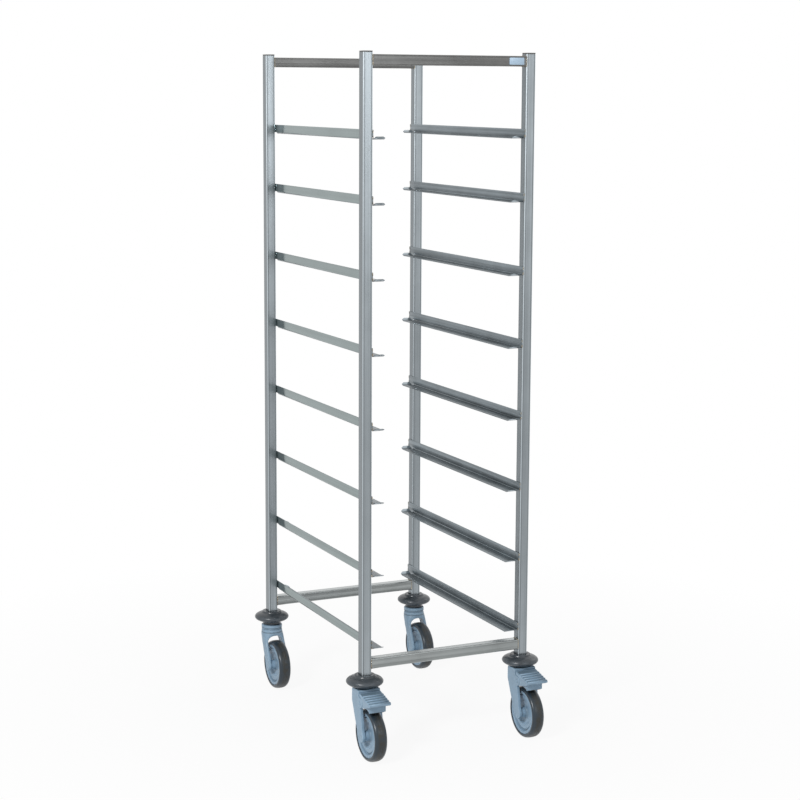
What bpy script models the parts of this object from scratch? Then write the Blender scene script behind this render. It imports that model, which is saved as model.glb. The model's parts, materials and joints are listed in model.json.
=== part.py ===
"""Sheet pan rack: four square-tube uprights, cross bars front and rear, bent sheet runners for
600 x 400 mm trays on both sides, and four bumpered swivel casters, the front two with brakes.

X runs to the right, Y to the rear and Z up. Sizes are millimetres until a mesh is written.
"""

import math

import bmesh
import bpy

for old in list(bpy.data.objects):
    bpy.data.objects.remove(old, do_unlink=True)

MM = 0.001
# Gap left between two pieces that are welded, pressed or seated on each other
GAP = 0.3

# Trays
TRAY_WIDTH = 400
TRAY_SIDE_CLEARANCE = 1.25
TRAY_LENGTH = 600
TRAY_END_CLEARANCE = 6

# Square tube of the uprights and cross bars
TUBE = 25
TUBE_WALL = 1.5
TUBE_CORNER = 2.5
RACK_DEPTH = 656

# Runners: a flange on the uprights and a ledge with a raised stop at each end
SHEET = 1.5
FLANGE = 23
LEDGE = 34
BEND = 2
TAB_LENGTH = 15
TAB_ANGLE = 22
TAB_BEND = 3
TAB_CHAMFER = 8
RELIEF = 3
RUNNER_FORWARD = 10
FLANGE_END = 1
LEVELS = 8
PITCH = 180
TOP_PITCH = 155
LOW_SPACE = 23
HEADROOM = 171

# Cross bars, caps and label plate
BAR_DROP = 8
CAP_THICK = 3
CAP_PLUG = 12
LABEL_WIDTH = 40
LABEL_HEIGHT = 17
LABEL_THICK = 0.8
LABEL_MARGIN = 7

# Wheels; facets lie flat on the floor, so radii are measured to the flats
WHEEL_RADIUS = 65
WHEEL_FACETS = 28
TYRE_HALF = 16
TYRE_THICK = 10
RIM_HALF = 14.5
RIM_LIP = 8
HUB_HALF = 20.5
HUB_RADIUS = 16
WEB_HALF = 9
BUSH_WALL = 3.7
AXLE_RADIUS = 5
AXLE_HEAD_RADIUS = 8
AXLE_HEAD = 2

# Caster forks
TRAIL = 40
FORK_HALF = 29
LEG_THICK = 8
BOSS = 15
BLIND_SKIN = 2
CROWN_RADIUS = 28
CROWN_CLEARANCE = 13
CROWN_HEIGHT = 26
CROWN_SKIRT = 10
SLOT_CORNER = 8
HEAD_RING = 11.5
# Front edge of a leg: distance ahead of the axle, and share of the height from axle to crown
LEG_FRONT_PLAIN = ((4.5, 0.23), (-1, 0.46), (-7, 0.59), (-14, 0.74), (-19, 1.03))
LEG_FRONT_BRAKED = ((4.5, 0.23), (2, 0.44), (-1, 0.62), (-3, 0.8))
LEG_TOP_WIDTH = 11
LEG_REAR_WIDTH = 11
# Hood of a braked fork: height above the crown, and reach behind the swivel axis
HOOD_RISE = 7
HOOD_REAR = 12

# Caster stems and bumpers
SPINDLE_RADIUS = 8
STEM_FOOT_RADIUS = 12
STEM_FOOT = 6
STEM_FLANGE_RADIUS = 16
STEM_FLANGE = 3.7
STEM_INSERT = 60
BUMPER_RADIUS = 46
BUMPER_HEIGHT = 24
NECK_RADIUS = 23
NECK_HEIGHT = 9
COLLAR = 4
SOCKET_DEPTH = 15
BAR_RISE = 15

# Brake pedals
PEDAL_PIVOT_AHEAD = 8.5
PEDAL_PIVOT_RISE = 5
PIVOT_BOSS = 13
PEDAL_HALF = 28
PEDAL_REACH = 57.5
PEDAL_TOP = 23
PEDAL_FALL = 14
PEDAL_PLATE = 8
PEDAL_SWING = 11
RIB_COUNT = 5
RIB_PITCH = 10.5
RIB_HEIGHT = 1.5
TRUNNION_RADIUS = 4
SHOE_HALF = 16
SHOE_GAP = 0.6

# Places that follow from the sizes above
INNER_X = TRAY_WIDTH / 2 + TRAY_SIDE_CLEARANCE + SHEET + GAP
UPRIGHT_X = INNER_X + TUBE / 2
UPRIGHT_Y = RACK_DEPTH / 2 - TUBE / 2
AXLE_Z = WHEEL_RADIUS
CROWN_Z = 2 * WHEEL_RADIUS + CROWN_CLEARANCE
HEAD_Z = CROWN_Z + CROWN_HEIGHT
NECK_Z = HEAD_Z + 2 * GAP
BUMPER_Z = NECK_Z + NECK_HEIGHT
BUMPER_TOP = BUMPER_Z + BUMPER_HEIGHT
COLLAR_Z = BUMPER_TOP + COLLAR
SOCKET_Z = COLLAR_Z - SOCKET_DEPTH
FOOT_Z = SOCKET_Z + GAP
LOW_BAR_Z = COLLAR_Z + BAR_RISE + TUBE / 2
LOWEST_LEVEL = LOW_BAR_Z + TUBE / 2 + LOW_SPACE
LEVEL_Z = [LOWEST_LEVEL + PITCH * i for i in range(LEVELS - 1)]
LEVEL_Z.append(LEVEL_Z[-1] + TOP_PITCH)
TOP_BAR_Z = LEVEL_Z[-1] + HEADROOM + TUBE / 2
HEIGHT = TOP_BAR_Z + TUBE / 2 + BAR_DROP
# The wheels reach further to the front than the bumpers to the rear: this centres the footprint
CENTRE_Y = (TRAIL + WHEEL_RADIUS - BUMPER_RADIUS) / 2
RIM_RADIUS = WHEEL_RADIUS - TYRE_THICK - GAP
BUSH_BORE = AXLE_RADIUS + GAP
BUSH_RADIUS = BUSH_BORE + BUSH_WALL
HUB_BORE = BUSH_RADIUS + GAP
LEG_INNER = FORK_HALF - LEG_THICK
PIVOT_AHEAD = CROWN_RADIUS + PEDAL_PIVOT_AHEAD
PIVOT_Z = CROWN_Z + PEDAL_PIVOT_RISE


def circle(radius, z, count):
    """Ring of points with one of them on each axis."""
    steps = [math.tau * i / count for i in range(count)]
    return [(radius * math.cos(a), radius * math.sin(a), z) for a in steps]


def flats(radius, z, count):
    """Ring whose flats, not its points, lie on the axes at this radius."""
    reach = radius / math.cos(math.pi / count)
    steps = [math.tau * (i + 0.5) / count for i in range(count)]
    return [(reach * math.cos(a), reach * math.sin(a), z) for a in steps]


def square(half, z, count):
    """Square ring with its points spread by angle, to be skinned to a circle."""
    points = []
    for x, y, _ in circle(1, 0, count):
        reach = half / max(abs(x), abs(y))
        points.append((x * reach, y * reach, z))
    return points


def rounded(side, corner, z, steps=3):
    """Square ring with rounded corners."""
    middle = side / 2 - corner
    points = []
    for turn, (sx, sy) in enumerate(((1, 1), (-1, 1), (-1, -1), (1, -1))):
        for i in range(steps + 1):
            a = math.pi / 2 * (turn + i / steps)
            points.append((sx * middle + corner * math.cos(a), sy * middle + corner * math.sin(a), z))
    return points


def skin(rings, closed=False):
    """Solid through rings of equal length: capped at both ends, or closed back on its first ring."""
    bm = bmesh.new()
    loops = [[bm.verts.new(p) for p in ring] for ring in rings]
    follow = loops[1:] + loops[:1] if closed else loops[1:]
    for low, high in zip(loops, follow):
        for i in range(len(low)):
            j = (i + 1) % len(low)
            bm.faces.new((low[i], low[j], high[j], high[i]))
    if not closed:
        bm.faces.new(loops[0])
        bm.faces.new(loops[-1])
    bmesh.ops.recalc_face_normals(bm, faces=bm.faces)
    return bm


def prism(outline, half):
    """Side outline of (distance ahead, height) made solid across X; ahead is towards the front."""
    return skin([[(x, -ahead, z) for ahead, z in outline] for x in (-half, half)])


def barrel(radius, low, high, ahead, z, count=16):
    """Round bar along X."""
    rings = []
    for x in (low, high):
        rings.append([(x, -ahead + p, z + q) for p, q, _ in circle(radius, 0, count)])
    return skin(rings)


def mesh_of(name, bm):
    """Blender mesh of a shape, in metres."""
    bmesh.ops.scale(bm, vec=(MM, MM, MM), verts=bm.verts)
    mesh = bpy.data.meshes.new(name)
    bm.to_mesh(mesh)
    bm.free()
    return mesh


def combined(name, base, steps):
    """One mesh from a shape and the shapes joined to it or cut from it in turn."""
    body = bpy.data.objects.new(name, mesh_of(name, base))
    bpy.context.collection.objects.link(body)
    helpers = []
    for operation, bm in steps:
        helper = bpy.data.objects.new(name + "_step", mesh_of(name + "_step", bm))
        bpy.context.collection.objects.link(helper)
        helper.hide_render = True
        helper.display_type = "WIRE"
        modifier = body.modifiers.new(operation.lower(), "BOOLEAN")
        modifier.operation = operation
        modifier.solver = "EXACT"
        modifier.object = helper
        helpers.append(helper)
    bpy.context.view_layer.update()
    evaluated = body.evaluated_get(bpy.context.evaluated_depsgraph_get())
    mesh = bpy.data.meshes.new_from_object(evaluated)
    mesh.name = name
    for spare in helpers + [body]:
        bpy.data.objects.remove(spare, do_unlink=True)
    return mesh


def material(name, colour, roughness, metallic):
    made = bpy.data.materials.new(name)
    made.use_nodes = True
    shader = made.node_tree.nodes["Principled BSDF"]
    shader.inputs["Base Color"].default_value = (*colour, 1)
    shader.inputs["Roughness"].default_value = roughness
    shader.inputs["Metallic"].default_value = metallic
    return made


def pivot(name, parent, place):
    """Empty that other pieces hang on, at a place in millimetres from its parent."""
    empty = bpy.data.objects.new(name, None)
    empty.empty_display_size = 0.03
    bpy.context.collection.objects.link(empty)
    empty.parent = parent
    empty.location = [MM * value for value in place]
    return empty


def piece(name, mesh, coat, parent, place=(0, 0, 0), turn=(0, 0, 0)):
    """One named sub-part on its parent."""
    own = mesh.copy()
    own.name = name
    own.materials.clear()
    own.materials.append(coat)
    made = bpy.data.objects.new(name, own)
    bpy.context.collection.objects.link(made)
    made.parent = parent
    made.location = [MM * value for value in place]
    made.rotation_euler = turn
    return made


def tube_mesh(name, low, high):
    """Open square tube along Z."""
    bore = TUBE - 2 * TUBE_WALL
    inner_corner = TUBE_CORNER - TUBE_WALL
    outside = [rounded(TUBE, TUBE_CORNER, z) for z in (low, high)]
    inside = [rounded(bore, inner_corner, z) for z in (high, low)]
    return mesh_of(name, skin(outside + inside, closed=True))


def cap_mesh():
    """Top cap: a plate flush with the tube and a plug inside it, with the plate's underside at zero."""
    plug = TUBE - 2 * TUBE_WALL - 2 * GAP
    edge = 0.8
    rings = [rounded(plug - 2, 1, -CAP_PLUG), rounded(plug, 1, -CAP_PLUG + 1), rounded(plug, 1, 0)]
    rings += [rounded(TUBE, TUBE_CORNER, 0), rounded(TUBE, TUBE_CORNER, CAP_THICK - edge)]
    rings.append(rounded(TUBE - 2 * edge, TUBE_CORNER - edge, CAP_THICK))
    return mesh_of("cap", skin(rings))


def runner_mesh(side):
    """Tray-side skin of a runner, its ledge at zero height; side is -1 on the left and 1 on the right."""
    bm = bmesh.new()
    known = {}

    def vert(inward, y, z):
        key = (round(inward, 4), round(y, 4), round(z, 4))
        if key not in known:
            known[key] = bm.verts.new((side * (INNER_X - inward), y, z))
        return known[key]

    def sheet(row_a, row_b):
        """Strip of faces between two rows of (inward, y, z) points."""
        for a, b, c, d in zip(row_a, row_a[1:], row_b[1:], row_b):
            bm.faces.new([vert(*p) for p in (a, b, c, d)])

    face = GAP + SHEET
    turns = [math.pi / 6 * i for i in range(4)]
    bend = [(face + BEND - BEND * math.cos(a), BEND - BEND * math.sin(a)) for a in turns]
    relief = face + BEND + RELIEF
    reach = TRAY_LENGTH / 2 + TRAY_END_CLEARANCE
    trunk = [-reach - RUNNER_FORWARD + RELIEF, reach - RUNNER_FORWARD - RELIEF]
    ends = [FLANGE_END - RACK_DEPTH / 2, RACK_DEPTH / 2 - FLANGE_END]
    along = [ends[0], *trunk, ends[1]]
    sheet([(face, y, FLANGE - SHEET) for y in along], [(face, y, BEND) for y in along])
    for (in_a, z_a), (in_b, z_b) in zip(bend, bend[1:]):
        sheet([(in_a, y, z_a) for y in trunk], [(in_b, y, z_b) for y in trunk])
    sheet([(face + BEND, y, 0) for y in trunk], [(relief, y, 0) for y in trunk])
    sheet([(relief, y, 0) for y in trunk], [(LEDGE, y, 0) for y in trunk])
    for way, start in ((-1, trunk[0]), (1, trunk[1])):
        fold = start + way * RELIEF
        tilt = math.radians(TAB_ANGLE)
        path = [(start, 0)]
        for share in (0, 0.5, 1):
            a = tilt * share
            path.append((fold + way * TAB_BEND * math.sin(a), TAB_BEND * (1 - math.cos(a))))
        y, z = path[-1]
        path.append((y + way * TAB_LENGTH * math.cos(tilt), z + TAB_LENGTH * math.sin(tilt)))
        free = [LEDGE] * 4 + [LEDGE - TAB_CHAMFER]
        sheet([(relief, y, z) for y, z in path], [(w, y, z) for w, (y, z) in zip(free, path)])
    bmesh.ops.recalc_face_normals(bm, faces=bm.faces)
    ledge = max(bm.faces, key=lambda f: f.calc_area() * abs(f.normal.z))
    if ledge.normal.z < 0:
        bmesh.ops.reverse_faces(bm, faces=bm.faces)
    return mesh_of("runner", bm)


def bumper_mesh():
    """Domed bumper disc: neck below, square socket for the tube above, hole for the stem between."""
    low, top, count = BUMPER_Z, BUMPER_TOP, 24
    hole = TUBE / 2 - TUBE_WALL
    well = STEM_FLANGE_RADIUS + GAP
    shelf = HEAD_Z + GAP + STEM_FLANGE + GAP
    full = BUMPER_RADIUS
    mouth = TUBE / 2 + GAP
    rings = [circle(well, NECK_Z, count), circle(NECK_RADIUS, NECK_Z, count), circle(NECK_RADIUS, low, count)]
    rings += [circle(full - 13, low + 1, count), circle(full - 4, low + 0.2 * BUMPER_HEIGHT, count)]
    rings += [circle(full, low + 0.48 * BUMPER_HEIGHT, count), circle(full - 3, low + 0.74 * BUMPER_HEIGHT, count)]
    rings += [circle(full - 10, low + 0.9 * BUMPER_HEIGHT, count), circle(full - 20, top, count)]
    rings += [circle(full - 21.5, COLLAR_Z - 1, count), circle(full - 23, COLLAR_Z, count)]
    rings += [square(mouth, COLLAR_Z, count), square(mouth, SOCKET_Z, count)]
    rings += [circle(hole, SOCKET_Z, count), circle(hole, shelf, count), circle(well, shelf, count)]
    return mesh_of("bumper", skin(rings, closed=True))


def stem_mesh():
    """Caster stem: riveted foot under the crown, spindle, flange, and insert in the tube."""
    count = 16
    insert = TUBE / 2 - TUBE_WALL - GAP
    foot = CROWN_Z - GAP
    flange = HEAD_Z + GAP
    tip = FOOT_Z + STEM_INSERT
    sizes = [(STEM_FOOT_RADIUS, foot - STEM_FOOT), (STEM_FOOT_RADIUS, foot), (SPINDLE_RADIUS, foot)]
    sizes += [(SPINDLE_RADIUS, flange), (STEM_FLANGE_RADIUS, flange), (STEM_FLANGE_RADIUS, flange + STEM_FLANGE)]
    sizes += [(insert, flange + STEM_FLANGE), (insert, tip - 2), (insert - 2, tip)]
    return mesh_of("stem", skin([circle(r, z, count) for r, z in sizes]))


def arc(centre, radius, first, last, steps):
    """Points of (ahead, height) on an arc; degrees run from ahead towards up."""
    turns = [math.radians(first + (last - first) * i / steps) for i in range(steps + 1)]
    return [(centre[0] + radius * math.cos(a), centre[1] + radius * math.sin(a)) for a in turns]


def fork_mesh(braked):
    """Fork: round crown on the swivel axis, two legs to the axle, and pedal cheeks on a braked one."""
    rise = CROWN_Z - AXLE_Z
    front = LEG_FRONT_BRAKED if braked else LEG_FRONT_PLAIN
    side = arc((TRAIL, AXLE_Z), BOSS, -155, 25, 8)
    side += [(TRAIL + ahead, AXLE_Z + share * rise) for ahead, share in front]
    if braked:
        top = HEAD_Z + HOOD_RISE
        side += arc((PIVOT_AHEAD, PIVOT_Z), PIVOT_BOSS, -100, 90, 8)
        side += [(CROWN_RADIUS, PIVOT_Z + PIVOT_BOSS), (CROWN_RADIUS, top - 2), (CROWN_RADIUS - 2, top)]
        side += [(4 - HOOD_REAR, top), (-HOOD_REAR, top - 4), (-HOOD_REAR, CROWN_Z)]
    else:
        top = PIVOT_Z + PIVOT_BOSS
        side += [(LEG_TOP_WIDTH / 2, top), (-LEG_TOP_WIDTH / 2, top), (-LEG_REAR_WIDTH, CROWN_Z)]
    low = CROWN_Z - CROWN_SKIRT
    ring = HEAD_Z - HEAD_RING
    sizes = [(CROWN_RADIUS, low), (CROWN_RADIUS, ring - 0.8), (CROWN_RADIUS - 0.9, ring)]
    sizes += [(CROWN_RADIUS, ring + 0.8), (CROWN_RADIUS, HEAD_Z - 1.2), (CROWN_RADIUS - 1.2, HEAD_Z)]
    crown = skin([circle(r, z, 24) for r, z in sizes])
    middle = LEG_INNER - SLOT_CORNER
    arch = arc((middle, CROWN_Z - SLOT_CORNER), SLOT_CORNER, 0, 90, 3)
    arch += arc((-middle, CROWN_Z - SLOT_CORNER), SLOT_CORNER, 90, 180, 3)
    arch += [(-LEG_INNER, -1), (LEG_INNER, -1)]
    far = TRAIL + 2 * WHEEL_RADIUS
    slot = skin([[(x, y, z) for x, z in arch] for y in (-far, far)])
    bore = SPINDLE_RADIUS + 2 * GAP
    steps = [("UNION", crown), ("DIFFERENCE", slot)]
    steps.append(("DIFFERENCE", skin([circle(bore, z, 16) for z in (low - 1, HEAD_Z + 1)])))
    hole = AXLE_RADIUS + GAP
    blind = BLIND_SKIN - FORK_HALF
    steps.append(("DIFFERENCE", barrel(hole, blind, FORK_HALF + 1, TRAIL, AXLE_Z)))
    if braked:
        back = CROWN_RADIUS + 2 * GAP
        pocket = [(back, low - 1), (far, low - 1), (far, HEAD_Z + 1), (back, HEAD_Z + 1)]
        steps.append(("DIFFERENCE", prism(pocket, LEG_INNER)))
        neck = NECK_RADIUS + 1
        steps.append(("DIFFERENCE", skin([circle(neck, z, 24) for z in (HEAD_Z, top + 1)])))
        pin = TRUNNION_RADIUS + GAP
        steps.append(("DIFFERENCE", barrel(pin, -FORK_HALF - 1, FORK_HALF + 1, PIVOT_AHEAD, PIVOT_Z)))
    return combined("fork", prism(side, FORK_HALF), steps)


def turned(point, degrees):
    """Point of the pedal after its tip goes down by this angle about the pedal pivot."""
    a = math.radians(degrees)
    ahead, z = point[0] - PIVOT_AHEAD, point[1] - PIVOT_Z
    swung = (ahead * math.cos(a) + z * math.sin(a), z * math.cos(a) - ahead * math.sin(a))
    return (PIVOT_AHEAD + swung[0], PIVOT_Z + swung[1])


def pedal_mesh():
    """Brake pedal: ribbed wedge, web and trunnions between the cheeks, and a shoe above the tyre."""
    tip, rear = PIVOT_AHEAD + PEDAL_REACH, CROWN_RADIUS + 2.5
    high = PIVOT_Z + PEDAL_TOP
    fall = PEDAL_FALL / (tip - rear)

    def top(ahead):
        return high - fall * (ahead - rear)

    clear = PIVOT_AHEAD + PIVOT_BOSS + 1.5
    low = PIVOT_Z - PIVOT_BOSS
    wedge = [(rear, high - PEDAL_PLATE), (clear, top(clear) - PEDAL_PLATE), (clear, low)]
    wedge += [(tip - 9, top(tip) - 8), (tip - 1, top(tip) - 4.5), (tip, top(tip))]
    for i in range(RIB_COUNT):
        crest = tip - 4.5 - RIB_PITCH * i
        for ahead, lift in ((1.6, 0), (0.9, RIB_HEIGHT), (-0.9, RIB_HEIGHT), (-1.6, 0)):
            wedge.append((crest + ahead, top(crest + ahead) + lift))
    wedge.append((rear, high))
    web = arc((PIVOT_AHEAD, PIVOT_Z), 6, 180, 270, 3)
    web += [(clear + 2, low + 2), (clear + 2, top(clear) - 1), (PIVOT_AHEAD, high - 2), (rear + 0.5, high - 3)]
    press = WHEEL_RADIUS / math.cos(math.pi / WHEEL_FACETS) + SHOE_GAP
    shoe = []
    for ahead in (10, 20, 30):
        meet = (TRAIL + ahead, AXLE_Z + math.sqrt(press * press - ahead * ahead))
        shoe.append(turned(meet, -PEDAL_SWING))
    shoe += [(shoe[-1][0], top(shoe[-1][0]) - 2), (shoe[0][0], top(shoe[0][0]) - 2)]
    end = FORK_HALF - GAP
    steps = [("UNION", prism(web, LEG_INNER - 2 * GAP)), ("UNION", prism(shoe, SHOE_HALF))]
    steps.append(("UNION", barrel(TRUNNION_RADIUS, -end, end, PIVOT_AHEAD, PIVOT_Z)))
    return combined("pedal", prism(wedge, PEDAL_HALF), steps)


def hub_mesh():
    """Wheel centre about Z: bored hub, recessed web and rim."""
    half = [(HUB_BORE, HUB_HALF), (HUB_RADIUS, HUB_HALF), (HUB_RADIUS + 3, WEB_HALF)]
    half += [(RIM_RADIUS - RIM_LIP - 4, WEB_HALF), (RIM_RADIUS - RIM_LIP, RIM_HALF), (RIM_RADIUS, RIM_HALF)]
    rings = [flats(r, z, WHEEL_FACETS) for r, z in half]
    rings += [flats(r, -z, WHEEL_FACETS) for r, z in reversed(half)]
    return mesh_of("hub", skin(rings, closed=True))


def tyre_mesh():
    """Tyre about Z, with rounded shoulders."""
    inside = WHEEL_RADIUS - TYRE_THICK
    half = [(inside, TYRE_HALF - 1), (inside + 4, TYRE_HALF), (WHEEL_RADIUS - 1.6, TYRE_HALF - 2)]
    half.append((WHEEL_RADIUS, TYRE_HALF - 7))
    rings = [flats(r, z, WHEEL_FACETS) for r, z in half]
    rings += [flats(r, -z, WHEEL_FACETS) for r, z in reversed(half)]
    return mesh_of("tyre", skin(rings, closed=True))


def axle_mesh():
    """Axle along Z from the blind hole in one leg to the head outside the other."""
    count = 16
    blind = BLIND_SKIN - FORK_HALF + GAP
    head = FORK_HALF + GAP
    rings = [circle(AXLE_RADIUS, blind, count), circle(AXLE_RADIUS, head, count)]
    rings.append(circle(AXLE_HEAD_RADIUS, head, count))
    rings.append(circle(AXLE_HEAD_RADIUS, head + AXLE_HEAD - 0.6, count))
    rings.append(circle(AXLE_HEAD_RADIUS - 0.8, head + AXLE_HEAD, count))
    return mesh_of("axle", skin(rings))


def bush_mesh():
    """Plain bearing about Z, pressed in the hub."""
    end = HUB_HALF - GAP
    rings = [flats(BUSH_BORE, -end, 16), flats(BUSH_BORE, end, 16)]
    rings += [circle(BUSH_RADIUS, end, 16), circle(BUSH_RADIUS, -end, 16)]
    return mesh_of("bush", skin(rings, closed=True))


STEEL = material("stainless_steel", (0.5, 0.53, 0.53), 0.32, 1)
AXLE_STEEL = material("axle_steel", (0.6, 0.61, 0.62), 0.25, 1)
BUMPER_RUBBER = material("bumper_rubber", (0.09, 0.095, 0.11), 0.45, 0)
FORK_PLASTIC = material("fork_plastic", (0.27, 0.37, 0.5), 0.42, 0)
TYRE_RUBBER = material("tyre_rubber", (0.06, 0.07, 0.08), 0.6, 0)
BUSH_PLASTIC = material("bush_plastic", (0.75, 0.75, 0.72), 0.4, 0)
LABEL_COAT = material("label_plate", (0.6, 0.72, 0.8), 0.35, 0)

CORNERS = {
    "front_left": (-1, -1),
    "front_right": (1, -1),
    "rear_left": (-1, 1),
    "rear_right": (1, 1),
}
ACROSS = (0, math.pi / 2, 0)

rack = pivot("rack", None, (0, CENTRE_Y, 0))

upright = tube_mesh("upright", FOOT_Z, HEIGHT - CAP_THICK - GAP)
cap = cap_mesh()
for corner, (sx, sy) in CORNERS.items():
    place = (sx * UPRIGHT_X, sy * UPRIGHT_Y, 0)
    piece("upright_" + corner, upright, STEEL, rack, place)
    piece("cap_" + corner, cap, STEEL, rack, (place[0], place[1], HEIGHT - CAP_THICK))

bar = tube_mesh("crossbar", GAP - INNER_X, INNER_X - GAP)
for height, z in (("top", TOP_BAR_Z), ("bottom", LOW_BAR_Z)):
    for end, sy in (("front", -1), ("rear", 1)):
        piece(f"crossbar_{height}_{end}", bar, STEEL, rack, (0, sy * UPRIGHT_Y, z), ACROSS)

for name, side in (("left", -1), ("right", 1)):
    runner = runner_mesh(side)
    for level, z in enumerate(LEVEL_Z, start=1):
        made = piece(f"runner_{name}_{level}", runner, STEEL, rack, (0, 0, z))
        solidify = made.modifiers.new("sheet", "SOLIDIFY")
        solidify.thickness = SHEET * MM
        solidify.offset = -1
        solidify.use_even_offset = True

half_height, half_width = LABEL_HEIGHT / 2, LABEL_WIDTH / 2
card = [[(x, y, z) for x, z in ((-half_width, -half_height), (half_width, -half_height),
                                (half_width, half_height), (-half_width, half_height))]
        for y in (-LABEL_THICK, 0)]
label_x = INNER_X - LABEL_MARGIN - half_width
label_y = -RACK_DEPTH / 2 - GAP
piece("label_plate", mesh_of("label", skin(card)), LABEL_COAT, rack, (label_x, label_y, TOP_BAR_Z))

bumper = bumper_mesh()
stem = stem_mesh()
forks = {braked: fork_mesh(braked) for braked in (True, False)}
pedal = pedal_mesh()
hub = hub_mesh()
tyre = tyre_mesh()
axle = axle_mesh()
bush = bush_mesh()
for corner, (sx, sy) in CORNERS.items():
    braked = sy < 0
    place = (sx * UPRIGHT_X, sy * UPRIGHT_Y, 0)
    piece("bumper_" + corner, bumper, BUMPER_RUBBER, rack, place)
    piece("stem_" + corner, stem, AXLE_STEEL, rack, place)
    swivel = pivot("swivel_" + corner, rack, place)
    piece("fork_" + corner, forks[braked], FORK_PLASTIC, swivel)
    spin = pivot("spin_" + corner, swivel, (0, -TRAIL, AXLE_Z))
    piece("axle_" + corner, axle, AXLE_STEEL, swivel, (0, -TRAIL, AXLE_Z), ACROSS)
    piece("hub_" + corner, hub, FORK_PLASTIC, spin, turn=ACROSS)
    piece("tyre_" + corner, tyre, TYRE_RUBBER, spin, turn=ACROSS)
    piece("bush_" + corner, bush, BUSH_PLASTIC, spin, turn=ACROSS)
    if braked:
        hinge = pivot("hinge_" + corner, swivel, (0, -PIVOT_AHEAD, PIVOT_Z))
        piece("pedal_" + corner, pedal, FORK_PLASTIC, hinge, (0, PIVOT_AHEAD, -PIVOT_Z))

for spare in list(bpy.data.meshes):
    if not spare.users:
        bpy.data.meshes.remove(spare)
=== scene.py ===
import json
import math

import bmesh
import bpy
from bpy.props import FloatProperty, FloatVectorProperty, IntProperty, PointerProperty
from mathutils import Matrix, Vector


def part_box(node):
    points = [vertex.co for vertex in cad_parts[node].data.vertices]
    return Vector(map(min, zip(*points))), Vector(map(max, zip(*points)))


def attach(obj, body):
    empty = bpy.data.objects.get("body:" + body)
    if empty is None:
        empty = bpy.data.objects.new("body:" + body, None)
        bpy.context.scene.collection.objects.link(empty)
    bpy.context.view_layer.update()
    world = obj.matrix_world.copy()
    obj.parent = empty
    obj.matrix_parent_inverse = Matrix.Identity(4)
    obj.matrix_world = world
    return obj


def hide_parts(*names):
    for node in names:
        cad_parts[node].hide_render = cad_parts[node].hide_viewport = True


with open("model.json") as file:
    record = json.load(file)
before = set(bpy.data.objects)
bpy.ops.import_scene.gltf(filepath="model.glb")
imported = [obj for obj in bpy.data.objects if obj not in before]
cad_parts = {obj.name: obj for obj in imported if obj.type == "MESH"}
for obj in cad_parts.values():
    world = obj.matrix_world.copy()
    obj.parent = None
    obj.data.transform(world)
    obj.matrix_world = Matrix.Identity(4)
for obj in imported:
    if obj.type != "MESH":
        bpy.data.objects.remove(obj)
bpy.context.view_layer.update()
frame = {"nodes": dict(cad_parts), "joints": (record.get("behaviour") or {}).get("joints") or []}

bl_info = {
    "name": "Sheet Pan Rack",
    "version": (1, 0, 0),
    "blender": (4, 5, 0),
    "location": "View3D > Sidebar > Rack",
    "description": "Dresses the packed frame of a rolling rack for baking trays",
    "category": "Add Mesh",
}

# Shapes are worked out in millimetres; settings and meshes are in metres
MM = 0.001
CORNERS = ("front_left", "front_right", "rear_left", "rear_right")
BRAKED = CORNERS[:2]
SIDES = {"left": -1, "right": 1}
LEVELS = range(1, 9)
BARS = ("top_front", "top_rear", "bottom_front", "bottom_rear")
JOINT_AT = {joint["name"]: Vector(joint["pos_m"]) for joint in frame["joints"]}
# Points round each turned form
ROUND = {"bumper": 96, "crown": 64, "bore": 48, "head": 96, "hub": 112, "tyre": 128, "axle": 48}


def box_mm(node):
    """Lowest and highest corner of a node of the frame, in millimetres."""
    low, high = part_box(node)
    return low / MM, high / MM


def length(name, description, default):
    return FloatProperty(name=name, description=description, default=default, unit="LENGTH", precision=4)


def number(name, description, default):
    return FloatProperty(name=name, description=description, default=default)


def angle(name, description, default):
    return FloatProperty(name=name, description=description, default=default, subtype="ANGLE")


def colour(name, description, default):
    return FloatVectorProperty(name=name, description=description, default=default, subtype="COLOR",
                               min=0, max=1)


def place(name, description, default):
    return FloatVectorProperty(name=name, description=description, default=default, subtype="XYZ",
                               unit="LENGTH")


class RackTubeSettings(bpy.types.PropertyGroup):
    """Square tube, caps, label plate and weld beads."""

    wall: length("Wall", "Wall of the square tube", 0.0015)
    corner: length("Corner", "Outer corner radius of the square tube", 0.0025)
    cap_edge: length("Cap edge", "Rounding of the top edge of a cap", 0.0011)
    label_corner: length("Label corner", "Corner radius of the label plate", 0.002)
    bead_pitch: length("Bead pitch", "Distance between the ripples of a weld", 0.0013)
    bead_width: length("Bead width", "Width of a weld bead", 0.0022)
    tack: length("Tack length", "Length of a short weld on a runner", 0.0045)
    # Painted shade on the sides and half way up the faces of the uprights, and a painted highlight on the top
    # of the cross bars
    painted_dark_side: number("Shaded side", "Painted shade on the sides of the uprights", 0.62)
    painted_dark_middle: number("Shaded middle", "Painted shade at half height on the faces of the uprights", 0.45)
    painted_bright_top: number("Bright top", "Painted highlight on the top of the cross bars", 0.5)


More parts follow.
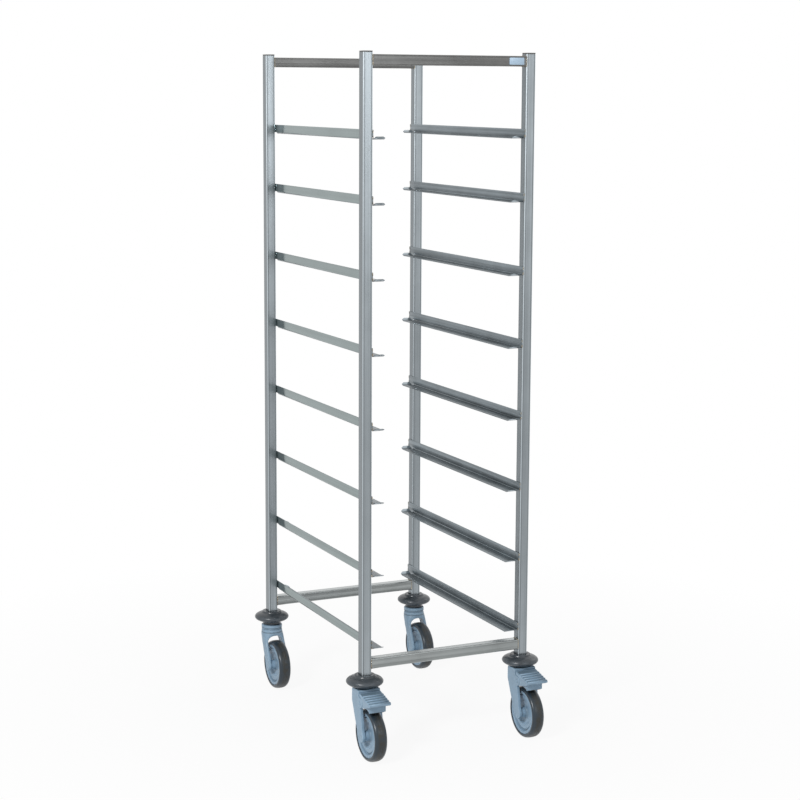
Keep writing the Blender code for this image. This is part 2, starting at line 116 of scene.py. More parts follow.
class RackRunnerSettings(bpy.types.PropertyGroup):
    """Bent sheet runners."""

    sheet: length("Sheet", "Thickness of the sheet", 0.0015)
    bend: length("Bend", "Inside radius of the fold along the runner", 0.002)
    relief: length("Relief", "Size of the notch beside an end stop", 0.003)
    reach: length("Reach", "Half the flat length of the ledge", 0.306)
    forward: length("Forward", "How far the ledge is set to the front", 0.01)
    tab: length("Stop", "Length of the raised end stop", 0.015)
    tab_bend: length("Stop bend", "Radius of the fold at an end stop", 0.003)
    tab_chamfer: length("Stop chamfer", "Cut-off corner of an end stop", 0.008)
    tab_angle: angle("Stop angle", "Tilt of the end stop", math.radians(22))
    # Painted highlights on the end stops and along the top of the flange
    painted_bright_stop: number("Bright stop", "Painted highlight on the tray side of the end stops", 1)
    painted_bright_flange: number("Bright flange", "Painted highlight at the top of the flange", 0.3)


class RackCasterSettings(bpy.types.PropertyGroup):
    """Casters: bumpers, forks, wheels and brake pedals."""

    neck: length("Neck", "Radius of the neck under a bumper", 0.023)
    disc: length("Disc", "Height of the bumper disc", 0.024)
    collar: length("Collar", "Height of the collar on a bumper", 0.004)
    leg: length("Leg", "Thickness of a fork leg", 0.008)
    boss: length("Boss", "Radius of a leg's end at the axle", 0.015)
    crown: length("Crown", "Radius of the crown", 0.028)
    crown_height: length("Crown height", "Height of the crown above the wheel slot", 0.026)
    skirt: length("Skirt", "Depth of the crown's lower edge", 0.01)
    head_ring: length("Head ring", "Height of the bearing ring on the crown", 0.0115)
    groove_drop: length("Groove drop", "Depth of the crown's groove below its bearing ring", 0.0085)
    hood_rear: length("Hood rear", "Reach of the brake hood behind the swivel axis", 0.012)
    pivot_boss: length("Pivot boss", "Radius of the cheek round the pedal's pivot", 0.013)
    trunnion: length("Trunnion", "Radius of the pedal's pivot pin", 0.004)
    spindle: length("Spindle", "Radius of the swivel spindle", 0.008)
    rivet: length("Rivet", "Radius of the riveted foot of the spindle", 0.012)
    axle: length("Axle", "Radius of the axle", 0.005)
    tyre: length("Tyre", "Thickness of the tyre", 0.01)
    pedal_reach: length("Pedal reach", "Distance from the pivot to the pedal's tip", 0.0575)
    pedal_top: length("Pedal top", "Height of the pedal's top above the pivot", 0.023)
    pedal_fall: length("Pedal fall", "Drop of the pedal's top towards its tip", 0.014)
    rib_count: IntProperty(name="Ribs", description="Grip ribs on a pedal", default=5)
    rib_pitch: length("Rib pitch", "Distance between grip ribs", 0.0105)
    moulding: length("Moulding detail", "Size of the finest detail of a moulded part", 0.0009)


class RackFinishSettings(bpy.types.PropertyGroup):
    """Colours of the finishes."""

    tube: colour("Tube", "Brushed stainless uprights", (0.325, 0.36, 0.382))
    # The top bars take a darker tint than the bottom bars of the same steel, as painted shade
    shaded_top_rail: colour("Top bars", "Brushed stainless bars at the top", (0.133, 0.133, 0.13))
    low_rail: colour("Bottom bars", "Brushed stainless bars at the bottom", (0.26, 0.277, 0.277))
    runner: colour("Runner outside", "Outer face of a runner", (0.258, 0.303, 0.303))
    tray_side: colour("Runner inside", "Tray side of a runner", (0.165, 0.19, 0.205))
    weld: colour("Weld", "Weld beads", (0.34, 0.33, 0.31))
    plastic: colour("Caster plastic", "Forks, hubs and pedals", (0.255, 0.375, 0.49))
    rubber: colour("Tyre", "Tyres", (0.02, 0.033, 0.046))
    tread: colour("Tread", "Worn tread of the tyres", (0.024, 0.024, 0.02))
    bumper: colour("Bumper", "Bumper discs", (0.043, 0.052, 0.061))
    shoe: colour("Brake shoe", "Brake shoes", (0.012, 0.012, 0.013))
    label: colour("Label", "Bare label plate", (0.45, 0.6, 0.75))
    turned: colour("Turned steel", "Axles and stems", (0.55, 0.56, 0.57))
    bush: colour("Bush", "Wheel bearings", (0.7, 0.7, 0.67))


class RackStageSettings(bpy.types.PropertyGroup):
    """Camera, floor and light."""

    camera: place("Camera", "Place of the camera", (-2.024149, -4.375391, 1.620668))
    yaw: angle("Yaw", "Turn of the camera to the right", 0.43491)
    pitch: angle("Pitch", "Tilt of the camera downwards", 0.150258)
    roll: angle("Roll", "Roll of the camera", 0.004729)
    lens: number("Lens", "Focal length on a 36 mm sensor, in millimetres", 85.3155)
    shift: number("Shift", "Vertical shift of the camera", -0.03)
    floor: colour("Floor", "Floor and backdrop", (0.86, 0.86, 0.86))
    fill: number("Fill", "Strength of the light from all round", 0.3)
    key: number("Key", "Power of the key lamp, in watts", 138)
    panel: number("Panel", "Power of the panel in front, in watts", 20)
    rim: number("Rim", "Power of the lamp on the right, in watts", 8)


class Value:
    """Output of a node that takes part in Python arithmetic."""

    def __init__(self, wiring, socket):
        self.wiring = wiring
        self.socket = socket

    def _math(self, operation, first, second):
        return self.wiring.node("ShaderNodeMath", {"operation": operation}, {0: first, 1: second})

    def __add__(self, other):
        return self._math("ADD", self, other)

    def __sub__(self, other):
        return self._math("SUBTRACT", self, other)

    def __mul__(self, other):
        return self._math("MULTIPLY", self, other)

    def __truediv__(self, other):
        return self._math("DIVIDE", self, other)

    def __rsub__(self, other):
        return self._math("SUBTRACT", other, self)

    def __rtruediv__(self, other):
        return self._math("DIVIDE", other, self)

    __radd__ = __add__
    __rmul__ = __mul__

    def swing(self, amount):
        """Noise from 0 to 1 turned into a swing about 0."""
        return (self - 0.5) * amount

    def clamped(self):
        """The same value kept from 0 to 1."""
        return self.wiring.node("ShaderNodeClamp", {}, {"Value": self})


class Wiring:
    """Builds a node tree from calls."""

    def __init__(self, tree):
        self.tree = tree

    @staticmethod
    def find(sockets, key):
        if isinstance(key, int):
            return sockets[key]
        for socket in sockets:
            if socket.identifier == key:
                return socket
        return sockets[key]

    def node(self, kind, settings=None, inputs=None, output=0):
        """New node with its settings first, then the values or links of its sockets; gives one output."""
        made = self.tree.nodes.new(kind)
        for name, value in (settings or {}).items():
            setattr(made, name, value)
        self.feed(made, inputs or {})
        return Value(self, self.find(made.outputs, output)) if made.outputs else made

    def feed(self, made, inputs):
        for key, value in inputs.items():
            socket = self.find(made.inputs, key)
            if isinstance(value, Value):
                self.tree.links.new(value.socket, socket)
            else:
                socket.default_value = value

    def mix(self, low, high, share):
        """Colour between two, by a share from 0 to 1."""
        inputs = {"Factor_Float": share}
        for key, value in (("A_Color", low), ("B_Color", high)):
            inputs[key] = value if isinstance(value, Value) else (*value, 1)
        return self.node("ShaderNodeMix", {"data_type": "RGBA"}, inputs, "Result_Color")


class Finish(Wiring):
    """Material with one Principled shader."""

    def __init__(self, name, uniform):
        self.material = bpy.data.materials.new(name)
        self.material.use_nodes = True
        super().__init__(self.material.node_tree)
        self.shader = self.tree.nodes["Principled BSDF"]
        self.feed(self.shader, uniform)
        self.where = self.node("ShaderNodeTexCoord", output="Object")

    def noise(self, x, y, z, detail=3, rough=0.6):
        """Soft noise with its own number of patterns per metre along each axis."""
        mapped = self.node("ShaderNodeMapping", {}, {"Vector": self.where, "Scale": (x, y, z)})
        inputs = {"Vector": mapped, "Scale": 1.0, "Detail": detail, "Roughness": rough}
        return self.node("ShaderNodeTexNoise", {}, inputs, "Fac")

    def coat(self, tone, rough, height, strength, distance):
        """Colour and roughness of the shader, and a bump for its normal."""
        bump = self.node("ShaderNodeBump", {}, {"Height": height, "Strength": strength, "Distance": distance})
        self.feed(self.shader, {"Base Color": tone, "Roughness": rough, "Normal": bump})

    def attribute(self, name):
        return self.node("ShaderNodeAttribute", {"attribute_name": name}, output="Fac")


class Growth(Wiring):
    """Geometry node tree with named inputs that grows instances on a mesh."""

    def __init__(self, name, inputs):
        super().__init__(bpy.data.node_groups.new(name, "GeometryNodeTree"))
        self.sockets = {}
        for key, kind in {"Geometry": "Geometry", **inputs, "Material": "Material"}.items():
            self.sockets[key] = self.add_socket(key, "INPUT", kind).identifier
        self.add_socket("Geometry", "OUTPUT", "Geometry")
        self.start = self.tree.nodes.new("NodeGroupInput")

    def add_socket(self, name, way, kind):
        return self.tree.interface.new_socket(name, in_out=way, socket_type="NodeSocket" + kind)

    def given(self, name):
        return Value(self, self.find(self.start.outputs, self.sockets[name]))

    def complete(self, instances):
        """Last nodes: the instances made real, smooth and coated."""
        whole = self.node("GeometryNodeRealizeInstances", {}, {"Geometry": instances})
        soft = self.node("GeometryNodeSetShadeSmooth", {}, {"Geometry": whole})
        inputs = {"Geometry": soft, "Material": self.given("Material")}
        coated = self.node("GeometryNodeSetMaterial", {}, inputs)
        self.feed(self.tree.nodes.new("NodeGroupOutput"), {0: coated})

    def grown(self, base, values):
        """Plain mesh that the tree makes on a base mesh."""
        name = self.tree.name
        body = helper(name, base)
        modifier = body.modifiers.new(name, "NODES")
        modifier.node_group = self.tree
        for key, value in values.items():
            modifier[self.sockets[key]] = value
        return evaluated_mesh(name, body)


def shade(tint, factor):
    """Colour made darker or lighter."""
    return tuple(min(1, channel * factor) for channel in tint)


def stretched(across, along, axis):
    """Scales of a noise that is drawn out along one axis."""
    scale = [across] * 3
    scale[axis] = along
    return scale


# Tint of steel under a full painted highlight and under full painted shade, as a multiple of its own
PAINTED_BRIGHT, PAINTED_DARK = 2.3, 0.5


def brushed(name, tint, axis, rough, contrast, even=False):
    """Brushed stainless steel with its grain along one axis; unless it is even, a point attribute paints a
    highlight, with a little less roughness, where it is 1 and paints shade where it is -1."""
    made = Finish(name, {"Metallic": 1.0})
    grain = made.noise(*stretched(1400, 8, axis))
    bands = made.noise(*stretched(130, 0.9, axis))
    cloud = made.noise(11, 11, 11, rough=0.55)
    spread = (bands.swing(2.8) + cloud.swing(1.2) + grain.swing(0.6) + 0.5).clamped()
    tone = made.mix(shade(tint, 1 - contrast), shade(tint, 1 + contrast), spread)
    roughness = rough + grain.swing(0.2) + cloud.swing(0.16)
    if not even:
        # Painted highlight where the attribute is above 0, painted shade where it is below 0
        polish = made.attribute("polish")
        painted_bright, painted_dark = polish.clamped(), (0 - polish).clamped()
        tone = made.mix(made.mix(tone, shade(tint, PAINTED_BRIGHT), painted_bright), shade(tint, PAINTED_DARK), painted_dark)
        roughness = roughness - painted_bright * 0.1
    made.coat(tone, roughness, grain, 0.1, 0.0002)


def moulded_plastic(name, tint, rough):
    """Moulded plastic: fine grain, faint flow marks, and painted shade, mottled by the dust noise, where a
    point attribute puts it.
    """
    made = Finish(name, {"IOR": 1.49})
    grain = made.noise(1900, 1900, 1900, 2, 0.5)
    flow = made.noise(38, 38, 22)
    dust = made.noise(160, 160, 160, 4, 0.7)
    share = (flow.swing(1.6) + dust.swing(0.8) + 0.5).clamped()
    # Painted shade in grooves and recesses, mottled by the dust noise
    grime = (made.attribute("grime") * (dust + 0.45)).clamped()
    clean = made.mix(shade(tint, 0.88), shade(tint, 1.1), share)
    tone = made.mix(clean, shade(tint, 0.22), grime)
    roughness = rough + flow.swing(0.18) + dust.swing(0.12)
    made.coat(tone, roughness, grain * 0.6 + dust * 0.4, 0.07, 0.0002)


# Tint of worn rubber, as a multiple of its own
WORN = 2.1


def rubber(name, tint, rough, worn, worn_tint):
    """Rubber whose worn places, held in the attribute of that name, are rougher and of another tint."""
    made = Finish(name, {"IOR": 1.5})
    grain = made.noise(900, 900, 900)
    scuff = made.noise(70, 70, 70, 4, 0.65)
    wear = (made.attribute(worn) * ((scuff - 0.3) * 1.8)).clamped()
    base = made.mix(shade(tint, 0.85), shade(tint, 1.15), scuff)
    roughness = (rough + wear * 0.2 + grain.swing(0.12)).clamped()
    made.coat(made.mix(base, worn_tint, wear), roughness, grain, 0.1, 0.0003)


def weld_metal(name, tint):
    """Weld bead with heat tint."""
    made = Finish(name, {"Metallic": 1.0})
    heat = made.noise(140, 140, 140)
    straw = (tint[0] * 1.15, tint[1] * 0.98, tint[2] * 0.72)
    tone = made.mix(shade(tint, 0.7), straw, (heat.swing(2.5) + 0.5).clamped())
    made.coat(tone, 0.3 + heat.swing(0.3), heat, 0.1, 0.0003)


def label_coat(name, tint):
    """Printed plate left bare: faint cloud under a clear coat."""
    made = Finish(name, {"Coat Roughness": 0.15, "Coat Weight": 0.4})
    cloud = made.noise(90, 90, 160)
    tone = made.mix(shade(tint, 0.94), shade(tint, 1.06), cloud)
    made.coat(tone, 0.36 + cloud.swing(0.15), cloud, 0.04, 0.0002)


def turned_steel(name, tint):
    """Plain turned steel."""
    made = Finish(name, {"Metallic": 1.0})
    marks = made.noise(700, 700, 700)
    tone = made.mix(shade(tint, 0.85), shade(tint, 1.1), marks)
    made.coat(tone, 0.28 + marks.swing(0.2), marks, 0.06, 0.0002)


def circle(radius, z, count):
    """Ring of points about Z."""
    turns = [math.tau * i / count for i in range(count)]
    return [(radius * math.cos(a), radius * math.sin(a), z) for a in turns]


def square(half, z, count):
    """Square ring with its points spread by angle, to be skinned to a circle."""
    points = []
    for x, y, _ in circle(1, 0, count):
        stretch = half / max(abs(x), abs(y))
        points.append((x * stretch, y * stretch, z))
    return points


def rounded(width, depth, corner, z, steps=7):
    """Rectangular ring with rounded corners."""
    points = []
    for turn, (sx, sy) in enumerate(((1, 1), (-1, 1), (-1, -1), (1, -1))):
        for i in range(steps + 1):
            a = math.pi / 2 * (turn + i / steps)
            x = sx * (width / 2 - corner) + corner * math.cos(a)
            points.append((x, sy * (depth / 2 - corner) + corner * math.sin(a), z))
    return points


def arc(centre, radius, first, last, steps):
    """Points of (ahead, height) on an arc; degrees run from ahead towards up."""
    turns = [math.radians(first + (last - first) * i / steps) for i in range(steps + 1)]
    return [(centre[0] + radius * math.cos(a), centre[1] + radius * math.sin(a)) for a in turns]


# Largest share of an edge that a softened corner may take
SOFT_SHARE = 0.48


def soften(points, radius, steps=5, closed=True):
    """Outline with each corner drawn as a curve that starts this far from it."""
    made = []
    for i, corner in enumerate(points):
        here = Vector(corner)
        if not closed and i in (0, len(points) - 1):
            made.append(tuple(here))
            continue
        before = Vector(points[i - 1]) - here
        after = Vector(points[(i + 1) % len(points)]) - here
        start = here + before.normalized() * min(radius, before.length * SOFT_SHARE)
        end = here + after.normalized() * min(radius, after.length * SOFT_SHARE)
        for step in range(steps + 1):
            t = step / steps
            made.append(tuple(start * (1 - t) ** 2 + here * 2 * t * (1 - t) + end * t ** 2))
    return made


def skin(rings, closed=False):
    """Surface through rings of equal length: capped at both ends, or closed back on its first ring."""
    bm = bmesh.new()
    loops = [[bm.verts.new(p) for p in ring] for ring in rings]
    follow = loops[1:] + loops[:1] if closed else loops[1:]
    for low, high in zip(loops, follow):
        for i in range(len(low)):
            j = (i + 1) % len(low)
            bm.faces.new((low[i], low[j], high[j], high[i]))
    if not closed:
        bm.faces.new(loops[0])
        bm.faces.new(loops[-1])
    bmesh.ops.recalc_face_normals(bm, faces=bm.faces)
    return bm


def lathe(profile, count, closed=True):
    """Solid of revolution about Z from a profile of (radius, height)."""
    return skin([circle(radius, z, count) for radius, z in profile], closed)


def rod(radius, low, high, count):
    """Round bar along Z."""
    return lathe([(radius, low), (radius, high)], count, closed=False)


def prism(outline, half):
    """Side outline of (distance ahead, height) made solid across X; ahead is towards the front."""
    return skin([[(x, -ahead, z) for ahead, z in outline] for x in (-half, half)])


def barrel(radius, low, high, ahead, z, count=32):
    """Round bar along X."""
    return skin([[(x, -ahead + p, z + q) for p, q, _ in circle(radius, 0, count)] for x in (low, high)])


def mesh_of(name, bm, matrix=None, sharp=35):
    """Mesh in metres from a shape in millimetres, smooth but for its sharp edges."""
    bmesh.ops.scale(bm, vec=(MM, MM, MM), verts=bm.verts)
    if matrix is not None:
        bmesh.ops.transform(bm, matrix=matrix, verts=bm.verts)
    mesh = bpy.data.meshes.new(name)
    bm.to_mesh(mesh)
    bm.free()
    smooth(mesh, sharp)
    return mesh


def smooth(mesh, sharp):
    mesh.shade_smooth()
    mesh.set_sharp_from_angle(angle=math.radians(sharp))


def marked(mesh, name, rule):
    """Attribute on the points of a mesh, by a rule on their places in millimetres."""
    values = mesh.attributes.new(name, "FLOAT", "POINT").data
    for point, value in zip(mesh.vertices, values):
        value.value = rule(*(point.co / MM))


def helper(name, mesh):
    made = bpy.data.objects.new(name, mesh)
    bpy.context.collection.objects.link(made)
    return made


def evaluated_mesh(name, body, *spares):
    """Plain mesh of an object with its modifiers, after which the object and its helpers go."""
    bpy.context.view_layer.update()
    graph = bpy.context.evaluated_depsgraph_get()
    mesh = bpy.data.meshes.new_from_object(body.evaluated_get(graph))
    mesh.name = name
    for spare in (body, *spares):
        bpy.data.objects.remove(spare, do_unlink=True)
    return mesh


def moulded(name, base, steps, detail, passes):
    """One moulded body: a shape with others joined to it or cut from it, and its edges rounded over."""
    body = helper(name, mesh_of(name, base))
    helpers = []
    for operation, bm in steps:
        tool = helper(name + "_tool", mesh_of(name + "_tool", bm))
        modifier = body.modifiers.new(operation, "BOOLEAN")
        modifier.operation = operation
        modifier.solver = "EXACT"
        modifier.object = tool
        helpers.append(tool)
    remesh = body.modifiers.new("even_skin", "REMESH")
    remesh.mode = "VOXEL"
    remesh.voxel_size = detail
    remesh.use_smooth_shade = True
    round_over = body.modifiers.new("round_over", "SMOOTH")
    round_over.factor = 0.5
    round_over.iterations = passes
    mesh = evaluated_mesh(name, body, *helpers)
    smooth(mesh, 60)
    return mesh


def piece(name, mesh, coats, body, slot, *nodes):
    """Finished piece on a body of the frame, in place of the nodes it stands for."""
    mesh.name = name
    for i, coat in enumerate(coats):
        if i == len(mesh.materials):
            mesh.materials.append(None)
        mesh.materials[i] = bpy.data.materials[coat]
    made = helper(name, mesh)
    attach(made, body)
    if nodes:
        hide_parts(*nodes)


def moved(mesh, where):
    """Copy of a mesh at another place."""
    made = mesh.copy()
    made.transform(Matrix.Translation(where))
    return made


# Least and greatest size of a weld ripple, and its length as a share of the pitch
RIPPLE_SIZES = (0.85, 1.12)
RIPPLE_LENGTH = 0.8
# Points round a grip rib, and its height as a multiple of its width
RIB_SIDES = 16
RIB_STRETCH = 1.5


def weld_tree():
    """Geometry nodes: overlapping ripples along every edge of a mesh."""
    wire = Growth("weld_ripples", {"Pitch": "Float", "Width": "Float", "Seed": "Int"})
    path = wire.node("GeometryNodeMeshToCurve", {}, {"Mesh": wire.given("Geometry")})
    steps = wire.node("GeometryNodeResampleCurve", {"mode": "LENGTH"},
                      {"Curve": path, "Length": wire.given("Pitch")})
    along = wire.node("GeometryNodeInputTangent")
    turn = wire.node("FunctionNodeAlignRotationToVector", {"axis": "X"}, {"Vector": along})
    ripple = wire.node("GeometryNodeMeshIcoSphere", {}, {"Radius": 1.0, "Subdivisions": 2})
    least, most = RIPPLE_SIZES
    size = wire.node("FunctionNodeRandomValue", {"data_type": "FLOAT"},
                     {"Min_001": least, "Max_001": most, "Seed": wire.given("Seed")}, "Value_001")
    half = wire.given("Width") * 0.5 * size
    scale = wire.node("ShaderNodeCombineXYZ", {},
                      {"X": wire.given("Pitch") * RIPPLE_LENGTH, "Y": half, "Z": half})
    wire.complete(wire.node("GeometryNodeInstanceOnPoints", {},
                            {"Points": steps, "Instance": ripple, "Rotation": turn, "Scale": scale}))
    return wire


def rib_tree():
    """Geometry nodes: round ribs across X, one step apart."""
    wire = Growth("pedal_ribs", {"Count": "Int", "Start": "Vector", "Step": "Vector", "Width": "Float",
                                 "Radius": "Float"})
    line = wire.node("GeometryNodeMeshLine", {"mode": "OFFSET"},
                     {"Count": wire.given("Count"), "Start Location": wire.given("Start"),
                      "Offset": wire.given("Step")})
    radius = wire.given("Radius")
    core = wire.given("Width") - radius * 2
    bar = wire.node("GeometryNodeMeshCylinder", {"fill_type": "NGON"},
                    {"Vertices": RIB_SIDES, "Side Segments": 1, "Radius": radius, "Depth": core}, "Mesh")
    end = wire.node("GeometryNodeMeshUVSphere", {},
                    {"Segments": RIB_SIDES, "Rings": RIB_SIDES // 2, "Radius": radius})
    parts = [bar]
    for side in (-0.5, 0.5):
        shift = wire.node("ShaderNodeCombineXYZ", {}, {"Z": core * side})
        parts.append(wire.node("GeometryNodeTransform", {}, {"Geometry": end, "Translation": shift}))
    rib = wire.node("GeometryNodeJoinGeometry")
    for part in parts:
        wire.tree.links.new(part.socket, rib.socket.node.inputs[0])
    wire.complete(wire.node("GeometryNodeInstanceOnPoints", {},
                            {"Points": line, "Instance": rib, "Rotation": (0, math.pi / 2, 0),
                             "Scale": (RIB_STRETCH, 1, 1)}))
    return wire


def polylines(name, paths):
    """Mesh of edges along open paths, in metres from millimetres."""
    points, edges = [], []
    for path in paths:
        first = len(points)
        points += [tuple(MM * c for c in p) for p in path]
        edges += [(first + i, first + i + 1) for i in range(len(path) - 1)]
    mesh = bpy.data.meshes.new(name)
    mesh.from_pydata(points, edges, [])
    return mesh


class RACK_OT_finishes(bpy.types.Operator):
    """Make the finishes of the rack"""

    bl_idname = "rack.finishes"
    bl_label = "Finishes"

    def execute(self, context):
        tints = context.scene.rack_finish
        brushed("tube_steel", tints.tube, 2, 0.3, 0.15)
        # Darker steel of the top bars and caps: painted shade
        brushed("top_rail_steel", tints.shaded_top_rail, 0, 0.3, 0.36)
        brushed("low_rail_steel", tints.low_rail, 0, 0.3, 0.3)
        brushed("outer_side_steel", tints.runner, 1, 0.14, 0.08, even=True)
        brushed("tray_side_steel", tints.tray_side, 1, 0.33, 0.42)
        brushed("cut_edge_steel", tints.tray_side, 1, 0.55, 0.2, even=True)
        weld_metal("weld_metal", tints.weld)
        moulded_plastic("blue_plastic", tints.plastic, 0.4)
        rubber("tyre_rubber", tints.rubber, 0.3, "tread", tints.tread)
        rubber("bumper_rubber", tints.bumper, 0.25, "rim", shade(tints.bumper, WORN))
        rubber("shoe_rubber", tints.shoe, 0.6, "tread", shade(tints.shoe, WORN))
        label_coat("label_coat", tints.label)
        turned_steel("turned_steel", tints.turned)
        moulded_plastic("bush_plastic", tints.bush, 0.4)
        for corner in CORNERS:
            for node, coat in (("stem_", "turned_steel"), ("bush_", "bush_plastic")):
                slots = frame["nodes"][node + corner].data.materials
                slots.clear()
                slots.append(bpy.data.materials[coat])
        return {"FINISHED"}


# Rings along a tube, and the distances of the extra points beside its corners
TUBE_STATIONS = 7
CORNER_MARGINS = (1.2, 3.2)
# Painted highlight over a corner: its start and rise, and how much of it an upright's foot and a bar get
CORNER_START, CORNER_RISE = -0.3, 1.9
UPRIGHT_SHINE, BAR_SHINE = 0.35, 0.5
# Painted shade line beside a corner, on an upright and on a bar
UPRIGHT_LINE, BAR_LINE, LINE_WIDTH = -0.9, -0.3, 2
# Stretch of painted shade on an upright, in shares of its height
PAINTED_DARK_HEIGHT, PAINTED_DARK_REACH = 0.35, 0.4


def tube_ring(side, corner, z):
    """Ring of a square tube with extra points beside each corner."""
    ring = []
    points = rounded(side, side, corner, z)
    steps = len(points) // 4
    near, far = CORNER_MARGINS
    for i in range(4):
        bend = points[i * steps:(i + 1) * steps]
        first, last = Vector(bend[0]), Vector(bend[-1])
        back = (first - Vector(points[i * steps - 1])).normalized()
        onward = (Vector(points[(i + 1) * steps % len(points)]) - last).normalized()
        ring += [tuple(first - back * far), tuple(first - back * near), *bend]
        ring += [tuple(last + onward * near), tuple(last + onward * far)]
    return ring


def tube(node, axis, s):
    """Square tube in the place of a node, along one axis, with painted highlights on its corners and on a
    bar's top, and painted shade beside the corners and on stretches of an upright.
    """
    low, high = box_mm(node)
    span = high - low
    side = span[(axis + 1) % 3]
    corner, bore = s.corner / MM, side - 2 * s.wall / MM
    half = span[axis] / 2
    upright = axis == 2
    stations = [half * (2 * i / (TUBE_STATIONS - 1) - 1) for i in range(TUBE_STATIONS)]
    outside = [tube_ring(side, corner, z) for z in stations]
    inside = [tube_ring(bore, corner - s.wall / MM, z) for z in (half, -half)]
    mesh = mesh_of("tube", skin(outside + inside, closed=True))
    flat = side / 2 - corner

    # Painted light: a highlight along the corners that fades lower down an upright, shade lines beside the
    # corners, shade on an upright's sides and half way up its faces, and a highlight on a bar's top
    def polish(x, y, z):
        if max(abs(x), abs(y)) < side / 2 - corner * 0.5:
            return 0
        share = (z / half + 1) / 2
        along = min(abs(x), abs(y)) - flat
        if along > 0:
            painted_bright = UPRIGHT_SHINE + share ** 3 if upright else BAR_SHINE
            return min(1, (CORNER_START + CORNER_RISE * along / corner) * painted_bright)
        if along > -LINE_WIDTH:
            return UPRIGHT_LINE if upright else BAR_LINE
        if abs(y) > abs(x):
            painted_dark = max(0, 1 - ((share - PAINTED_DARK_HEIGHT) / PAINTED_DARK_REACH) ** 2)
            return -s.painted_dark_middle * painted_dark if upright else 0
        if upright:
            return -s.painted_dark_side
        return s.painted_bright_top if x < 0 else 0

    marked(mesh, "polish", polish)
    turn = Matrix.Rotation(math.pi / 2, 4, "Y") if axis == 0 else Matrix.Identity(4)
    mesh.transform(Matrix.Translation((low + high) / 2 * MM) @ turn)
    return mesh


# Caps: gap over the tube's end, play and corner of the plug, chamfer under the plate, steps of its top edge
CAP_GAP, PLUG_PLAY, PLUG_CORNER, CAP_CHAMFER, CAP_STEPS = 0.3, 0.6, 1, 0.7, 5


class RACK_OT_uprights(bpy.types.Operator):
    """Make the uprights and their caps"""

    bl_idname = "rack.uprights"
    bl_label = "Uprights and caps"

    def execute(self, context):
        s = context.scene.rack_tube
        edge = s.cap_edge / MM
        for corner in CORNERS:
            mesh = tube("upright_" + corner, 2, s)
            piece("tube_" + corner, mesh, ["tube_steel"], "frame", "steel", "upright_" + corner)
            low, high = box_mm("cap_" + corner)
            side = high.x - low.x
            plate = box_mm("upright_" + corner)[1].z + CAP_GAP
            plug, foot = side - 2 * s.wall / MM - PLUG_PLAY, side - 2 * CAP_CHAMFER
            rings = [rounded(plug, plug, PLUG_CORNER, z) for z in (low.z, plate)]
            rings.append(rounded(foot, foot, s.corner / MM - CAP_CHAMFER, plate))
            rings.append(rounded(side, side, s.corner / MM, plate + CAP_CHAMFER))
            for i in range(CAP_STEPS + 1):
                a = math.pi / 2 * i / CAP_STEPS
                inset = edge * (1 - math.cos(a))
                rings.append(rounded(side - 2 * inset, side - 2 * inset, s.corner / MM - inset,
                                     high.z - edge + edge * math.sin(a)))
            where = Matrix.Translation(((low.x + high.x) / 2 * MM, (low.y + high.y) / 2 * MM, 0))
            mesh = mesh_of("endcap", skin(rings), where)
            # Caps take the darker steel of the top bars, which is painted shade
            piece("endcap_" + corner, mesh, ["top_rail_steel"], "frame", "steel", "cap_" + corner)
        return {"FINISHED"}


# Rounded rim of the label plate, and the first step of its rounding
LABEL_EDGE, LABEL_STEP = 0.25, 0.075


class RACK_OT_cross_bars(bpy.types.Operator):
    """Make the cross bars and the bare label plate"""

    bl_idname = "rack.cross_bars"
    bl_label = "Cross bars and label plate"

    def execute(self, context):
        s = context.scene.rack_tube
        for name in BARS:
            coat = "top_rail_steel" if name.startswith("top") else "low_rail_steel"
            mesh = tube("crossbar_" + name, 0, s)
            piece("rail_" + name, mesh, [coat], "frame", "steel", "crossbar_" + name)
        low, high = box_mm("label_plate")
        width, tall, thick = high.x - low.x, high.z - low.z, high.y - low.y
        corner, edge, step = s.label_corner / MM, LABEL_EDGE, LABEL_STEP
        rings = [rounded(width, tall, corner, z) for z in (0, thick - edge)]
        rings.append(rounded(width - step, tall - step, corner, thick - step))
        rings.append(rounded(width - 2 * edge, tall - 2 * edge, corner - edge, thick))
        where = Matrix.Translation(((low.x + high.x) / 2 * MM, high.y * MM, (low.z + high.z) / 2 * MM))
        mesh = mesh_of("plate", skin(rings), where @ Matrix.Rotation(math.pi / 2, 4, "X"))
        piece("bare_plate", mesh, ["label_coat"], "frame", "label", "label_plate")
        return {"FINISHED"}


# Runners: gap at the ends of the flange, guard row above the fold, steps of the folds
END_GAP, FOLD_GUARD, FOLD_STEPS, STOP_STEPS = 1, 0.5, 8, 5
# Painted highlight of a runner: least rise of a stop, its margin to the fold, and the bright band of the
# flange
STOP_RISE, STOP_MARGIN, PAINTED_BRIGHT_BAND = 0.3, 1, 1
# Rounded edge of the sheet in metres, the least angle that is rounded, and the slope of an underside
SHEET_EDGE, SHEET_ANGLE, UNDERSIDE = 0.00022, math.radians(50), -0.5


